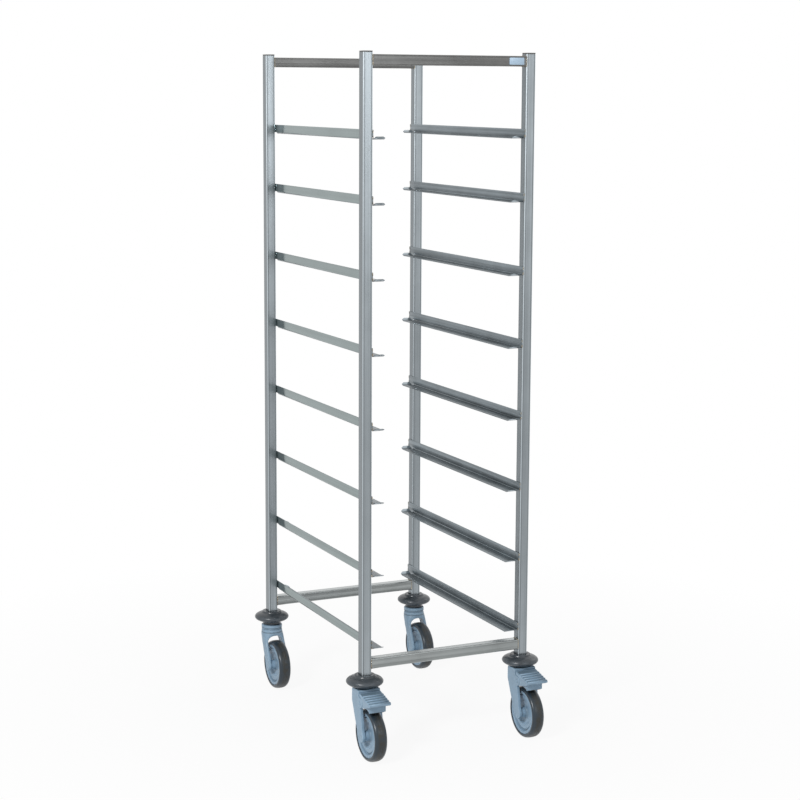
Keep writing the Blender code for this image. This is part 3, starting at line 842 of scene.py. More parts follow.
def runner_skin(name, side, s):
    """Tray-side skin of a runner, with its place from the frame."""
    low, high = box_mm(name)
    sheet, bend, relief = s.sheet / MM, s.bend / MM, s.relief / MM
    wall = (high.x if side > 0 else -low.x) - sheet
    ledge = wall - (low.x if side > 0 else -high.x)
    base, top = low.z + sheet, high.z
    rear = max(box_mm("upright_rear_" + hand)[1].y for hand in SIDES)
    front = min(box_mm("upright_front_" + hand)[0].y for hand in SIDES)
    centre = (front + rear) / 2
    bm = bmesh.new()
    known = {}

    def vert(inward, y, z):
        key = (round(inward, 4), round(y, 4), round(z, 4))
        if key not in known:
            known[key] = bm.verts.new((side * (wall - inward), y, base + z))
        return known[key]

    def strip(row_a, row_b):
        for a, b, c, d in zip(row_a, row_a[1:], row_b[1:], row_b):
            bm.faces.new([vert(*p) for p in (a, b, c, d)])

    reach, forward = s.reach / MM, s.forward / MM
    trunk = [centre - reach - forward + relief, centre + reach - forward - relief]
    flange = [front + END_GAP, *trunk, rear - END_GAP]
    turns = [math.pi / 2 * i / FOLD_STEPS for i in range(FOLD_STEPS + 1)]
    fold = [(bend - bend * math.cos(a), bend - bend * math.sin(a)) for a in turns]
    rows = (top - base, bend + FOLD_GUARD, bend)
    for z_a, z_b in zip(rows, rows[1:]):
        strip([(0, y, z_a) for y in flange], [(0, y, z_b) for y in flange])
    for (in_a, z_a), (in_b, z_b) in zip(fold, fold[1:]):
        strip([(in_a, y, z_a) for y in trunk], [(in_b, y, z_b) for y in trunk])
    strip([(bend, y, 0) for y in trunk], [(bend + relief, y, 0) for y in trunk])
    strip([(bend + relief, y, 0) for y in trunk], [(ledge, y, 0) for y in trunk])
    tilt, curl, tab, cut = s.tab_angle, s.tab_bend / MM, s.tab / MM, s.tab_chamfer / MM
    for way, start in zip((-1, 1), trunk):
        path = [(start, 0)]
        for i in range(STOP_STEPS + 1):
            a = tilt * i / STOP_STEPS
            path.append((start + way * (relief + curl * math.sin(a)), curl * (1 - math.cos(a))))
        y, z = path[-1]
        for share in (1 - cut / tab, 1):
            path.append((y + way * tab * share * math.cos(tilt), z + tab * share * math.sin(tilt)))
        free = [ledge] * (len(path) - 1) + [ledge - cut]
        strip([(bend + relief, y, z) for y, z in path], [(w, y, z) for w, (y, z) in zip(free, path)])
    bmesh.ops.recalc_face_normals(bm, faces=bm.faces)
    flat = max(bm.faces, key=lambda f: f.calc_area() * abs(f.normal.z))
    if flat.normal.z < 0:
        bmesh.ops.reverse_faces(bm, faces=bm.faces)
    mesh = mesh_of(name + "_skin", bm)

    # Painted highlight on the raised end stops and in a band along the top of the flange
    def polish(x, y, z):
        if z > base + STOP_RISE and abs(x) < wall - bend - STOP_MARGIN:
            return s.painted_bright_stop
        return s.painted_bright_flange if z > top - PAINTED_BRIGHT_BAND else 0

    marked(mesh, "polish", polish)
    return mesh


class RACK_OT_runners(bpy.types.Operator):
    """Make the bent sheet runners"""

    bl_idname = "rack.runners"
    bl_label = "Runners"

    def execute(self, context):
        s = context.scene.rack_runner
        coats = ["tray_side_steel", "outer_side_steel", "cut_edge_steel"]
        for hand, side in SIDES.items():
            for level in LEVELS:
                node = f"runner_{hand}_{level}"
                mesh = runner_skin(node, side, s)
                body = helper(node + "_form", mesh)
                for coat in coats:
                    mesh.materials.append(bpy.data.materials[coat])
                sheet = body.modifiers.new("sheet", "SOLIDIFY")
                sheet.thickness = s.sheet
                sheet.offset = -1
                sheet.use_even_offset = True
                sheet.material_offset = 1
                sheet.material_offset_rim = 2
                edge = body.modifiers.new("edge", "BEVEL")
                edge.width = SHEET_EDGE
                edge.segments = 2
                edge.limit_method = "ANGLE"
                edge.angle_limit = SHEET_ANGLE
                made = evaluated_mesh(node + "_sheet", body)
                for face in made.polygons:
                    if face.normal.z < UNDERSIDE:
                        face.material_index = 0
                smooth(made, 40)
                piece("tray_" + node, made, coats, "frame", "runner_steel", node)
        return {"FINISHED"}


# Welds: seed of the ripples, gap at a bar's end, steps of a bar's corner, depth in the metal, and distances
# from the top and the foot of a runner
WELD_SEED, WELD_GAP, WELD_STEPS, WELD_SINK, WELD_DROP, WELD_RISE = 4, 0.1, 4, 0.9, 2, 4


class RACK_OT_welds(bpy.types.Operator):
    """Make the weld beads of the cross bars and the runners"""

    bl_idname = "rack.welds"
    bl_label = "Weld beads"

    def execute(self, context):
        s = context.scene.rack_tube
        paths = []
        for name in BARS:
            low, high = box_mm("crossbar_" + name)
            side, middle = high.z - low.z, (low + high) / 2
            ring = rounded(side, side, s.corner / MM, 0, WELD_STEPS)
            for x in (low.x - WELD_GAP, high.x + WELD_GAP):
                paths.append([(x, middle.y + p, middle.z + q) for p, q, _ in ring + ring[:1]])
        tack = s.tack / MM
        for hand, side in SIDES.items():
            for level in LEVELS:
                low, high = box_mm(f"runner_{hand}_{level}")
                x = (high.x if side > 0 else low.x) - side * WELD_SINK
                front = box_mm("upright_front_" + hand)[0].y + WELD_SINK
                rear = box_mm("upright_rear_" + hand)[1].y - WELD_SINK
                for y in (front, rear):
                    for z in (high.z - WELD_DROP - tack, low.z + WELD_RISE):
                        paths.append([(x, y, z), (x, y, z + tack)])
        values = {"Pitch": s.bead_pitch, "Width": s.bead_width, "Seed": WELD_SEED,
                  "Material": bpy.data.materials["weld_metal"]}
        mesh = weld_tree().grown(polylines("weld_lines", paths), values)
        piece("weld_beads", mesh, ["weld_metal"], "frame", "steel")
        return {"FINISHED"}


# Underside of a bumper: radius of its opening, then inset from the rim and rise of the flare at its neck
BUMPER_OPENING, BUMPER_FLARE = 16.5, (13, 1)
# Disc of a bumper: inset from the rim, and share of the disc's height
BUMPER_DISC = ((4, 0.2), (0, 0.38), (0, 0.58), (3.6, 0.76), (11, 0.92), (19, 1))
# Collar of a bumper: inset from the rim, and depth below the top
BUMPER_COLLAR = ((20.3, 0.6), (22, 0), (27, 0))
BUMPER_SOFT, BUMPER_STEPS = 3.2, 5
# Inside of a bumper: play round what goes in, lead-in of the mouth, radius and floor of the well
BUMPER_PLAY, BUMPER_LEAD, BUMPER_WELL, BUMPER_FLOOR = 0.3, 0.8, 11, 4.2
# Width of the worn rim
BUMPER_WORN = 6


class RACK_OT_bumpers(bpy.types.Operator):
    """Make the bumper discs on the feet of the uprights"""

    bl_idname = "rack.bumpers"
    bl_label = "Bumpers"

    def execute(self, context):
        s = context.scene.rack_caster
        count = ROUND["bumper"]
        for corner in CORNERS:
            low, high = box_mm("bumper_" + corner)
            full, neck = (high.x - low.x) / 2, s.neck / MM
            top = high.z - s.collar / MM
            under = top - s.disc / MM
            post, stem = box_mm("upright_" + corner), box_mm("stem_" + corner)
            flare, rise = BUMPER_FLARE
            outline = [(BUMPER_OPENING, low.z), (neck, low.z), (neck, under), (full - flare, under + rise)]
            outline += [(full - inset, under + share * (top - under)) for inset, share in BUMPER_DISC]
            outline += [(full - inset, high.z - drop) for inset, drop in BUMPER_COLLAR]
            outline = soften(outline, BUMPER_SOFT, BUMPER_STEPS, closed=False)
            rings = [circle(radius, z, count) for radius, z in outline]
            mouth = (post[1].x - post[0].x) / 2 + BUMPER_PLAY
            foot, shelf = post[0].z - BUMPER_PLAY, low.z + BUMPER_FLOOR
            rings.append(square(mouth + BUMPER_LEAD, high.z, count))
            rings += [square(mouth, z, count) for z in (high.z - BUMPER_LEAD, foot)]
            rings += [circle(BUMPER_WELL, z, count) for z in (foot, shelf)]
            rings.append(circle((stem[1].x - stem[0].x) / 2 + BUMPER_PLAY, shelf, count))
            mesh = mesh_of("bumper_disc", skin(rings, closed=True), sharp=50)
            inner = full - BUMPER_WORN
            marked(mesh, "rim", lambda x, y, z: max(0, (math.hypot(x, y) - inner) / BUMPER_WORN))
            centre = (post[0] + post[1]) / 2
            mesh = moved(mesh, (centre.x * MM, centre.y * MM, 0))
            piece("bumper_disc_" + corner, mesh, ["bumper_rubber"], "frame", "bumper", "bumper_" + corner)
        return {"FINISHED"}


def caster_sizes(s):
    """Heights and reaches of a caster in millimetres, about its swivel axis."""
    swivel, roll = JOINT_AT["swivel_front_left"] / MM, JOINT_AT["roll_front_left"] / MM
    brake = JOINT_AT["brake_front_left"] / MM
    fork = box_mm("fork_rear_left")
    sizes = {
        "trail": swivel.y - roll.y,
        "axle_z": roll.z,
        "head": swivel.z,
        "crown_z": swivel.z - s.crown_height / MM,
        "half": (fork[1].x - fork[0].x) / 2,
        "hood": box_mm("fork_front_left")[1].z,
        "pivot": (swivel.y - brake.y, brake.z),
    }
    sizes["inner"] = sizes["half"] - s.leg / MM
    return sizes


def plan_ring(z, rear, front, half, power, count=72):
    """Level ring of a fork: round for a power of 2, squarer for a higher one."""
    points = []
    for x, y, _ in circle(1, 0, count):
        wide = math.copysign(abs(x) ** (2 / power), x) * half
        ahead = (rear + front) / 2 + math.copysign(abs(y) ** (2 / power), y) * (front - rear) / 2
        points.append((wide, -ahead, z))
    return points


# Crown of a plain fork from the top down: drop, insets at the rear, front and sides, and power of the ring
CROWN_RINGS = ((0, 0.9, 0.9, 0.9, 2), (4, 0, 0, 0, 2), (9, 1.5, 0, -0.4, 2.2))
# Shoulder under it: drop, insets at the rear, front and sides, and power
SHOULDER = (1, 6, 0.5, 0.2, 2.7)
# Legs of a plain fork: share of the height over the axle, rear and front edge, and power
LEG_RINGS = ((0.86, -12, 27, 3.6), (0.72, -5, 29, 5), (0.59, 2.5, 34, 7), (0.46, 7.5, 40, 9),
             (0.32, 12.5, 45.5, 9), (0.2, 17.5, 49.5, 9), (0.09, 22, 53, 9))
LEG_END_TURNS, LEG_POWER = (0, -20, -40, -55, -68, -80), 9
# Front edge of a braked fork's leg: distance ahead of the axle, and share of the height over it
BRAKED_LEG = ((8, 0.23), (5.5, 0.44), (2.5, 0.62), (0, 0.8))
# Cut corners of the hood at the front and the rear
HOOD_FRONT, HOOD_REAR = 2, 4
# Round crown in a braked fork: inset and rise at its foot, inset and drop at its top
CROWN_FOOT, CROWN_TOP = ((1.5, 0), (0, 2)), ((0, 6), (0.9, 0.4))
# Arch between the legs: flat part beside its middle, drop in a plain fork, steps of its curve
ARCH_FLAT, ARCH_DROP, ARCH_STEPS = 3, 2.5, 12
# Groove round a plain fork's crown: distance out from the crown, and height
GROOVE = ((4, -1.3), (4, 1.3), (-1, 0.8), (-1, -0.8))
# Play round the parts in a fork, the seat of the head, the leg left at the axle's end, and how far a cutting
# shape runs past
SPINDLE_PLAY, AXLE_PLAY, RIVET_PLAY, TRUNNION_PLAY, NECK_PLAY = 0.8, 0.2, 1.2, 0.4, 1
POCKET_PLAY, HEAD_PLAY, HEAD_SEAT, AXLE_STOP, PAST = 0.6, 0.5, 0.4, 2, 1
# Rounding passes of a fork, and half the width of the painted shade in its groove
FORK_PASSES, GROOVE_PAINTED_SHADE = 6, 1.2


def plain_fork(at, s):
    """Rings of a plain fork from its round crown down to the rounded leg ends."""
    trail, axle_z, crown_z, half = at["trail"], at["axle_z"], at["crown_z"], at["half"]
    crown, boss, rise = s.crown / MM, s.boss / MM, at["crown_z"] - at["axle_z"]
    top = at["head"] - s.head_ring / MM - HEAD_SEAT
    rings = []
    for drop, rear, front, side, power in CROWN_RINGS:
        rings.append(plan_ring(top - drop, rear - crown, crown - front, crown - side, power))
    drop, rear, front, side, power = SHOULDER
    rings.append(plan_ring(crown_z - drop, rear - crown, crown - front, half - side, power))
    for share, rear, front, power in LEG_RINGS:
        rings.append(plan_ring(axle_z + share * rise, rear, front, half, power))
    for degrees in LEG_END_TURNS:
        reach, drop = boss * math.cos(math.radians(degrees)), boss * math.sin(math.radians(degrees))
        rings.append(plan_ring(axle_z + drop, trail - reach, trail + reach, half, LEG_POWER))
    return skin(rings)


def braked_fork(at, s):
    """Side outline of a braked fork, made solid: legs, hood and the cheeks round the pedal's pivot."""
    trail, axle_z, crown_z = at["trail"], at["axle_z"], at["crown_z"]
    crown, cheek, rear, top = s.crown / MM, s.pivot_boss / MM, s.hood_rear / MM, at["hood"]
    side = arc((trail, axle_z), s.boss / MM, -155, 25, 16)
    for ahead, share in BRAKED_LEG:
        side.append((trail + ahead, axle_z + share * (crown_z - axle_z)))
    side += arc(at["pivot"], cheek, -100, 90, 14)
    side += [(crown, at["pivot"][1] + cheek), (crown, top - HOOD_FRONT), (crown - HOOD_FRONT, top)]
    side += [(HOOD_REAR - rear, top), (-rear, top - HOOD_REAR), (-rear, crown_z)]
    return prism(side, at["half"])


def fork_mesh(braked, s):
    """Fork about its swivel axis: crown, two legs to the axle, and the hood of a braked one."""
    at = caster_sizes(s)
    trail, axle_z, half, inner = at["trail"], at["axle_z"], at["half"], at["inner"]
    crown, low = s.crown / MM, at["crown_z"] - s.skirt / MM
    ring = at["head"] - s.head_ring / MM
    top = at["hood"] if braked else ring
    groove = ring - s.groove_drop / MM
    steps = []

    def cut(bm):
        steps.append(("DIFFERENCE", bm))

    if braked:
        profile = [(crown - inset, low + rise) for inset, rise in CROWN_FOOT]
        profile += [(crown - inset, ring - drop) for inset, drop in CROWN_TOP]
        steps.append(("UNION", lathe(profile, ROUND["crown"], closed=False)))
    bend, apex = inner - ARCH_FLAT, at["crown_z"] - (0 if braked else ARCH_DROP)
    arch = arc((inner - bend, apex - bend), bend, 0, 90, ARCH_STEPS)
    arch += arc((bend - inner, apex - bend), bend, 90, 180, ARCH_STEPS)
    arch += [(-inner, -PAST), (inner, -PAST)]
    far = 3 * trail + axle_z
    cut(skin([[(x, y, z) for x, z in arch] for y in (-far, far)]))
    cut(rod(s.spindle / MM + SPINDLE_PLAY, low - PAST, top + PAST, ROUND["bore"]))
    cut(barrel(s.axle / MM + AXLE_PLAY, AXLE_STOP - half, half + PAST, trail, axle_z))
    cut(rod(s.rivet / MM + RIVET_PLAY, low - PAST, at["crown_z"] + HEAD_SEAT, ROUND["bore"]))
    if braked:
        back = crown + POCKET_PLAY
        cut(prism([(back, low - PAST), (far, low - PAST), (far, top + PAST), (back, top + PAST)], inner))
        cut(rod(crown + HEAD_PLAY, ring - HEAD_SEAT, at["head"], ROUND["crown"]))
        cut(rod(s.neck / MM + NECK_PLAY, at["head"] - PAST, top + PAST, ROUND["crown"]))
        cut(barrel(s.trunnion / MM + TRUNNION_PLAY, -half - PAST, half + PAST, *at["pivot"]))
    else:
        cut(lathe([(crown + out, groove + up) for out, up in GROOVE], ROUND["crown"]))
    base = braked_fork(at, s) if braked else plain_fork(at, s)
    mesh = moulded("fork_form", base, steps, s.moulding, FORK_PASSES)
    # Painted shade in the groove round a plain fork's crown
    marked(mesh, "grime", lambda x, y, z: 0.7 if abs(z - groove) < GROOVE_PAINTED_SHADE and not braked else 0)
    return mesh


# Bearing ring from its foot up: inset from the crown and rise; then its shoulder: inset and drop from the top
HEAD_SIDE = ((1.2, 0), (0.3, 0.9), (0.3, 3), (1.1, 3.5), (1.1, 4.1), (0, 4.6))
HEAD_SHOULDER = ((0, 1.8), (1.6, 0))
# Play round the spindle, and heights of the painted shade at the ring's foot and in its groove
HEAD_BORE, HEAD_FOOT, HEAD_GROOVE = 0.6, 0.8, (2.8, 4.4)


def head_mesh(s):
    """Bearing ring on top of a fork's crown, with its groove and seal lip."""
    at = caster_sizes(s)
    out, low, top = s.crown / MM, at["head"] - s.head_ring / MM, at["head"]
    hole = s.spindle / MM + HEAD_BORE
    outline = [(hole, low)] + [(out - inset, low + rise) for inset, rise in HEAD_SIDE]
    outline += [(out - inset, top - drop) for inset, drop in HEAD_SHOULDER] + [(hole, top)]
    mesh = mesh_of("head_form", lathe(soften(outline, 0.5, 3), ROUND["head"]), sharp=40)
    first, last = HEAD_GROOVE

    # Painted shade in the ring's groove and at its foot on the crown
    def hidden(x, y, z):
        return 0.8 if first < z - low < last or z - low < HEAD_FOOT else 0

    marked(mesh, "grime", hidden)
    return mesh


class RACK_OT_forks(bpy.types.Operator):
    """Make the caster forks and their swivel heads"""

    bl_idname = "rack.forks"
    bl_label = "Forks"

    def execute(self, context):
        s = context.scene.rack_caster
        forms = {braked: fork_mesh(braked, s) for braked in (True, False)}
        head = head_mesh(s)
        for corner in CORNERS:
            swivel = JOINT_AT["swivel_" + corner]
            where = (swivel.x, swivel.y, 0)
            piece("caster_fork_" + corner, moved(forms[corner in BRAKED], where), ["blue_plastic"],
                  "caster_" + corner, "caster_plastic", "fork_" + corner)
            piece("swivel_head_" + corner, moved(head, where), ["blue_plastic"],
                  "caster_" + corner, "caster_plastic")
        return {"FINISHED"}


# Half the profile of a hub from its bore out: radius, and distance from the middle
HUB_HALF = ((9.3, 20.5), (11, 20.5), (11.8, 19.6), (12.4, 12), (13.6, 7), (16.5, 4.6), (22, 4),
            (27, 4.6), (31, 7.6), (33, 9.2), (42, 10.6), (43.2, 8.4), (45.6, 8.2), (46.6, 9.4),
            (47.2, 13.4), (48.4, 14.5))
# Gap under the tyre, and painted shade in the hub's groove and dish: radius, half width and strength
HUB_GAP, HUB_GROOVE, HUB_DISH, DISH_DEPTH = 0.3, (44.6, 2.4, 0.85), (15, 5, 0.5), 12
# Half the profile of a tyre: rise from its seat or depth under the tread, and distance from the middle
TYRE_BEAD = ((0, 14.8), (0.6, 15.7), (3, 16))
TYRE_TREAD = ((4.4, 15.3), (2.2, 13), (0.8, 9.6), (0.15, 6), (0, 3), (0, 0.6), (0.3, 0.3))
# Depth and strength of the wear on the tread
TREAD_WORN, TREAD_WEAR = 1.2, 2
# Axle: cut short at its blind end, then its domed head: radius, and distance past the leg
AXLE_SHORT = 2.3
AXLE_HEAD = ((8, 0.3), (8, 0.9), (6.6, 1.7), (3.4, 2.2), (0.4, 2.3))


def wheel_form(name, half, soft, steps, count):
    """Turned part about Z, the same on both sides of its middle."""
    profile = half + [(radius, -z) for radius, z in reversed(half)]
    return mesh_of(name, lathe(soften(profile, soft, steps), count), sharp=40)


def hub_mesh(s, axle_z):
    """Wheel centre about Z: bored hub, dished web with a step, and rim lip."""
    rim = axle_z - s.tyre / MM - HUB_GAP
    mesh = wheel_form("hub_form", [*HUB_HALF, (rim, HUB_HALF[-1][1])], 0.9, 4, ROUND["hub"])

    # Painted shade in the groove by the rim and in the dish round the boss
    def grime(radius, place):
        centre, reach, strength = place
        return strength * max(0, 1 - abs(radius - centre) / reach)

    def hidden(x, y, z):
        radius = math.hypot(x, y)
        return max(grime(radius, HUB_GROOVE), grime(radius, HUB_DISH) if abs(z) < DISH_DEPTH else 0)

    marked(mesh, "grime", hidden)
    return mesh


def tyre_mesh(s, axle_z):
    """Tyre about Z with round shoulders and a fine mould line."""
    seat, worn = axle_z - s.tyre / MM, axle_z - TREAD_WORN
    half = [(seat + rise, z) for rise, z in TYRE_BEAD] + [(axle_z - drop, z) for drop, z in TYRE_TREAD]
    mesh = wheel_form("tyre_form", half, 1.2, 3, ROUND["tyre"])

    def wear(x, y, z):
        return TREAD_WEAR * max(0, min(1, (math.hypot(x, y) - worn) / TREAD_WORN))

    marked(mesh, "tread", wear)
    return mesh


def axle_mesh(s, at):
    """Axle about Z with a domed head."""
    radius, half = s.axle / MM, at["half"]
    outline = [(radius, AXLE_SHORT - half), (radius, half + AXLE_HEAD[0][1])]
    outline += [(out, half + past) for out, past in AXLE_HEAD]
    return mesh_of("axle_form", lathe(outline, ROUND["axle"], closed=False), sharp=40)


class RACK_OT_wheels(bpy.types.Operator):
    """Make the wheel hubs, tyres and axles"""

    bl_idname = "rack.wheels"
    bl_label = "Wheels"

    def execute(self, context):
        s = context.scene.rack_caster
        at = caster_sizes(s)
        across = Matrix.Rotation(math.pi / 2, 4, "Y")
        hub, tyre, axle = hub_mesh(s, at["axle_z"]), tyre_mesh(s, at["axle_z"]), axle_mesh(s, at)
        for mesh in (hub, tyre, axle):
            mesh.transform(across)
        for corner in CORNERS:
            centre = JOINT_AT["roll_" + corner]
            piece("wheel_hub_" + corner, moved(hub, centre), ["blue_plastic"],
                  "wheel_" + corner, "caster_plastic", "hub_" + corner)
            piece("wheel_tyre_" + corner, moved(tyre, centre), ["tyre_rubber"],
                  "wheel_" + corner, "tyre", "tyre_" + corner)
            piece("axle_pin_" + corner, moved(axle, centre), ["turned_steel"],
                  "caster_" + corner, "axle_steel", "axle_" + corner)
        return {"FINISHED"}


# Pedal: gap to the crown, thickness of its plate, play beside the fork's cheek, rounding passes and detail
PEDAL_GAP, PEDAL_PLATE, CHEEK_PLAY, PEDAL_PASSES, PEDAL_DETAIL = 2.5, 8, 0.7, 3, 0.8
# Tip of a pedal: distance back from the tip, and depth under its top
PEDAL_TIP = ((9, 8), (1, 4.5), (0, 0))
# Web under a pedal: radius round the pivot, reach past the cheek, depth, and gaps under the top
WEB_ROUND, WEB_REACH, WEB_DEPTH, WEB_GAP, WEB_PLAY = 6, 3, 10, 1, 0.6
# Block that holds the shoe: height, half width, and the lip in front of the shoe
BLOCK_HEIGHT, BLOCK_HALF, BLOCK_GAP, BLOCK_SINK = 5, 22, 0.4, 2
LIP_RISE, LIP_DEPTH, LIP_FRONT = 1.2, 2.8, 2
# How much narrower than the fork's half width are the wedge, the trunnions and the part of the top with
# painted shade
WEDGE_PLAY, TRUNNION_INSET, PAINTED_SHADE_INSET = 0.6, 0.4, 3
# Painted shade between the ribs: depth under the top, margins at the rear and the tip, and strength
PAINTED_SHADE_DEPTH, PAINTED_SHADE_REAR, PAINTED_SHADE_TIP, PAINTED_SHADE = 1.4, 3, 2.5, 0.5
# Ribs of a pedal: radius, distance of the first one from the tip, and play beside the fork
RIB_RADIUS, RIB_START, RIB_PLAY = 1.8, 2.2, 0.8
# Shoe: gap to the tyre when pressed, places ahead of the axle, thickness, rings across it with their insets
SHOE_GAP, SHOE_PLACES, SHOE_DEPTH = 1.0, (10, 15, 20, 25, 30), 6
SHOE_RINGS = ((-19.5, 0.7), (-18.8, 0), (18.8, 0), (19.5, 0.7))
SHOE_WEAR = 0.2


def pedal_outline(s):
    """Rear end, tip, height at the rear and slope of a pedal's top, in millimetres."""
    at = caster_sizes(s)
    rear, tip = s.crown / MM + PEDAL_GAP, at["pivot"][0] + s.pedal_reach / MM
    return rear, tip, at["pivot"][1] + s.pedal_top / MM, s.pedal_fall / MM / (tip - rear)


def shoe_line(s):
    """Underside of a brake shoe at rest: it lies on the tyre once the pedal is down."""
    at = caster_sizes(s)
    brake = next(joint for joint in frame["joints"] if joint["name"] == "brake_front_left")
    swing = math.radians(brake["range_deg"][1])
    press = at["axle_z"] + SHOE_GAP
    points = []
    for ahead in SHOE_PLACES:
        u = at["trail"] + ahead - at["pivot"][0]
        v = at["axle_z"] + math.sqrt(press ** 2 - ahead ** 2) - at["pivot"][1]
        points.append((at["pivot"][0] + u * math.cos(swing) - v * math.sin(swing),
                       at["pivot"][1] + v * math.cos(swing) + u * math.sin(swing)))
    return points


def pedal_mesh(s):
    """Brake pedal about the swivel axis: wedge, web and trunnions, and the block that holds its shoe."""
    at = caster_sizes(s)
    half, pivot = at["half"], at["pivot"]
    rear, tip, high, fall = pedal_outline(s)

    def top(ahead):
        return high - fall * (ahead - rear)

    cheek = s.pivot_boss / MM + CHEEK_PLAY
    wedge = [(rear, high - PEDAL_PLATE), (pivot[0], top(pivot[0]) - PEDAL_PLATE)]
    wedge += arc(pivot, cheek, 80, -62, 12)
    wedge += [(tip - back, top(tip) - drop) for back, drop in PEDAL_TIP] + [(rear, high)]
    reach = pivot[0] + cheek + WEB_REACH
    web = arc(pivot, WEB_ROUND, 180, 270, 6)
    web += [(reach, pivot[1] - WEB_DEPTH), (reach, top(pivot[0] + cheek) - WEB_GAP)]
    web += [(pivot[0], high - 2 * WEB_GAP), (rear + WEB_GAP / 2, high - 3 * WEB_GAP)]
    line = shoe_line(s)
    block = [(ahead, z + BLOCK_HEIGHT) for ahead, z in line]
    lip, foot = line[-1][0] + BLOCK_GAP, line[-1][1]
    block += [(lip, foot + BLOCK_HEIGHT), (lip, foot + LIP_RISE), (lip + LIP_DEPTH, foot + LIP_FRONT)]
    block += [(lip + LIP_DEPTH, top(lip) - BLOCK_SINK), (line[0][0], top(line[0][0]) - BLOCK_SINK)]
    end = half - TRUNNION_INSET
    steps = [prism(web, at["inner"] - WEB_PLAY), prism(block, BLOCK_HALF),
             barrel(s.trunnion / MM, -end, end, *pivot)]
    mesh = moulded("pedal_form", prism(wedge, half - WEDGE_PLAY), [("UNION", bm) for bm in steps],
                   s.moulding * PEDAL_DETAIL, PEDAL_PASSES)

    # Painted shade on the top between the ribs
    def between_ribs(x, y, z):
        inside = abs(x) < half - PAINTED_SHADE_INSET and rear + PAINTED_SHADE_REAR < -y < tip - PAINTED_SHADE_TIP
        return PAINTED_SHADE if inside and abs(z - top(-y)) < PAINTED_SHADE_DEPTH else 0

    marked(mesh, "grime", between_ribs)
    return mesh


def shoe_mesh(s):
    """Rubber shoe under a pedal."""
    line = shoe_line(s)
    outline = line + [(ahead, z + SHOE_DEPTH) for ahead, z in reversed(line)]
    centre = Vector((sum(p[0] for p in outline), sum(p[1] for p in outline))) / len(outline)
    rings = []
    for x, inset in SHOE_RINGS:
        ring = []
        for p in outline:
            inward = (centre - Vector(p)).normalized() * inset
            ring.append((x, -(p[0] + inward.x), p[1] + inward.y))
        rings.append(ring)
    mesh = mesh_of("shoe_form", skin(rings), sharp=40)
    marked(mesh, "tread", lambda x, y, z: SHOE_WEAR)
    return mesh


class RACK_OT_pedals(bpy.types.Operator):
    """Make the brake pedals with their ribs and shoes"""

    bl_idname = "rack.pedals"
    bl_label = "Brake pedals"

    def execute(self, context):
        s = context.scene.rack_caster
        at = caster_sizes(s)
        pedal, shoe = pedal_mesh(s), shoe_mesh(s)
        rear, tip, high, fall = pedal_outline(s)
        pitch = s.rib_pitch / MM
        slope = math.cos(math.atan(fall))
        first = tip - RIB_START
        start = Vector((0, -first, high - fall * (first - rear))) * MM
        tree = rib_tree()
        values = {"Count": s.rib_count, "Step": Vector((0, pitch, fall * pitch)) * slope * MM,
                  "Width": (at["half"] - RIB_PLAY) * 2 * MM, "Radius": RIB_RADIUS * MM,
                  "Material": bpy.data.materials["blue_plastic"]}
        for corner in BRAKED:
            swivel = JOINT_AT["swivel_" + corner]
            where = Vector((swivel.x, swivel.y, 0))
            body = "pedal_" + corner
            piece("brake_" + body, moved(pedal, where), ["blue_plastic"], body, "caster_plastic", body)
            piece("brake_shoe_" + corner, moved(shoe, where), ["shoe_rubber"], body, "tyre")
            ribs = tree.grown(polylines("rib_base", []), {**values, "Start": start + where})
            piece("pedal_ribs_" + corner, ribs, ["blue_plastic"], body, "caster_plastic")
        return {"FINISHED"}


# Floor: radius in millimetres, share of the backdrop's white close to the rack, where it starts to rise, and
# how fast
FLOOR_RADIUS, FLOOR_WHITE, FLOOR_NEAR, FLOOR_RISE = 14000, 0.94, 0.7, 0.06
# Lamps: setting of its power, place, aim, size and tint, in metres
LAMPS = (
    ("key", (-3.4, -2.5, 3.0), (0, 0, 0.8), 0.9, (1, 1, 1)),
    ("panel", (1.0, -4.6, 2.1), (0, 0, 1.7), 1.3, (0.94, 0.97, 1)),
    ("rim", (3.4, 0.8, 2.6), (0, 0, 0.8), 1.6, (1, 1, 1)),
)
SENSOR = 36
WHITE = (1, 1, 1, 1)


def lamp(name, where, aim, size, power, tint):
    """Square soft lamp."""
    light = bpy.data.lights.new(name, "AREA")
    light.shape = "SQUARE"
    light.size = size
    light.energy = power
    light.color = tint
    made = bpy.data.objects.new(name, light)
    bpy.context.collection.objects.link(made)
    made.location = where
    made.rotation_euler = (Vector(aim) - Vector(where)).to_track_quat("-Z", "Y").to_euler()


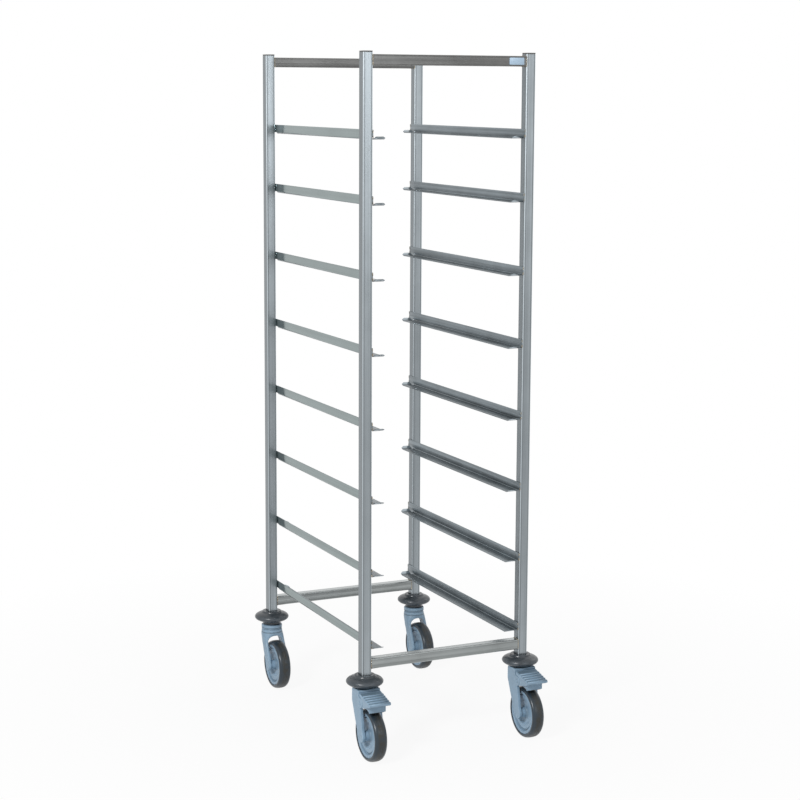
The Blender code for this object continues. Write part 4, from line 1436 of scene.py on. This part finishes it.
class RACK_OT_stage(bpy.types.Operator):
    """Make the floor, the light and the camera"""

    bl_idname = "rack.stage"
    bl_label = "Stage"

    @staticmethod
    def backdrop_rays(wire):
        """1 for the rays that show the white backdrop: those of the eye, of gloss and of glass."""
        path = wire.tree.nodes.new("ShaderNodeLightPath")
        names = ("Is Camera Ray", "Is Glossy Ray", "Is Transmission Ray")
        eye, shine, through = (Value(wire, path.outputs[name]) for name in names)
        return (eye + shine + through).clamped()

    def execute(self, context):
        s = context.scene.rack_stage
        scene = context.scene
        scene.view_settings.view_transform = "Standard"
        bm = bmesh.new()
        bmesh.ops.create_circle(bm, cap_ends=True, radius=FLOOR_RADIUS, segments=64)
        floor = helper("floor", mesh_of("floor", bm))
        made = Finish("floor_finish", {"Base Color": (*s.floor, 1), "Roughness": 0.8})
        seen = self.backdrop_rays(made)
        away = made.node("ShaderNodeVectorMath", {"operation": "LENGTH"}, {0: made.where}, "Value")
        share = (FLOOR_WHITE + (away - FLOOR_NEAR) * FLOOR_RISE).clamped()
        glow = made.node("ShaderNodeEmission", {}, {"Color": WHITE, "Strength": 1.0})
        lit = Value(made, made.shader.outputs[0])
        both = made.node("ShaderNodeMixShader", {}, {0: seen * share, 1: lit, 2: glow})
        made.feed(made.tree.nodes["Material Output"], {"Surface": both})
        floor.data.materials.append(made.material)
        world = bpy.data.worlds.new("studio")
        world.use_nodes = True
        scene.world = world
        wire = Wiring(world.node_tree)
        backdrop = self.backdrop_rays(wire)
        strength = s.fill + backdrop * (1 - s.fill)
        wire.feed(wire.tree.nodes["Background"], {"Color": WHITE, "Strength": strength})
        for name, where, aim, size, tint in LAMPS:
            lamp(name + "_lamp", where, aim, size, getattr(s, name), tint)
        lens = bpy.data.cameras.new("camera")
        lens.sensor_width = SENSOR
        lens.lens = s.lens
        lens.shift_y = s.shift
        eye_point = bpy.data.objects.new("camera", lens)
        context.collection.objects.link(eye_point)
        turn = Matrix.Rotation(-s.yaw, 4, "Z") @ Matrix.Rotation(math.pi / 2 - s.pitch, 4, "X")
        eye_point.matrix_world = Matrix.Translation(s.camera) @ turn @ Matrix.Rotation(s.roll, 4, "Z")
        scene.camera = eye_point
        return {"FINISHED"}


OPERATORS = (RACK_OT_finishes, RACK_OT_uprights, RACK_OT_cross_bars, RACK_OT_runners, RACK_OT_welds,
             RACK_OT_bumpers, RACK_OT_forks, RACK_OT_wheels, RACK_OT_pedals, RACK_OT_stage)
SETTINGS = {
    "rack_tube": RackTubeSettings,
    "rack_runner": RackRunnerSettings,
    "rack_caster": RackCasterSettings,
    "rack_finish": RackFinishSettings,
    "rack_stage": RackStageSettings,
}


class RACK_PT_sidebar(bpy.types.Panel):
    """Settings and steps of the rack"""

    bl_idname = "RACK_PT_sidebar"
    bl_label = "Sheet Pan Rack"
    bl_space_type = "VIEW_3D"
    bl_region_type = "UI"
    bl_category = "Rack"

    def draw(self, context):
        for operator in OPERATORS:
            self.layout.operator(operator.bl_idname)
        for name, group in SETTINGS.items():
            box = self.layout.box()
            for setting in group.__annotations__:
                box.prop(getattr(context.scene, name), setting)


def register():
    for group in SETTINGS.values():
        bpy.utils.register_class(group)
    for operator in OPERATORS:
        bpy.utils.register_class(operator)
    bpy.utils.register_class(RACK_PT_sidebar)
    for name, group in SETTINGS.items():
        setattr(bpy.types.Scene, name, PointerProperty(type=group))


def unregister():
    for name in SETTINGS:
        delattr(bpy.types.Scene, name)
    bpy.utils.unregister_class(RACK_PT_sidebar)
    for made in (*reversed(OPERATORS), *SETTINGS.values()):
        bpy.utils.unregister_class(made)


def main():
    register()
    for operator in OPERATORS:
        group, name = operator.bl_idname.split(".")
        getattr(getattr(bpy.ops, group), name)()
    for mesh in list(bpy.data.meshes):
        if not mesh.users:
            bpy.data.meshes.remove(mesh)


if __name__ == "__main__":
    main()
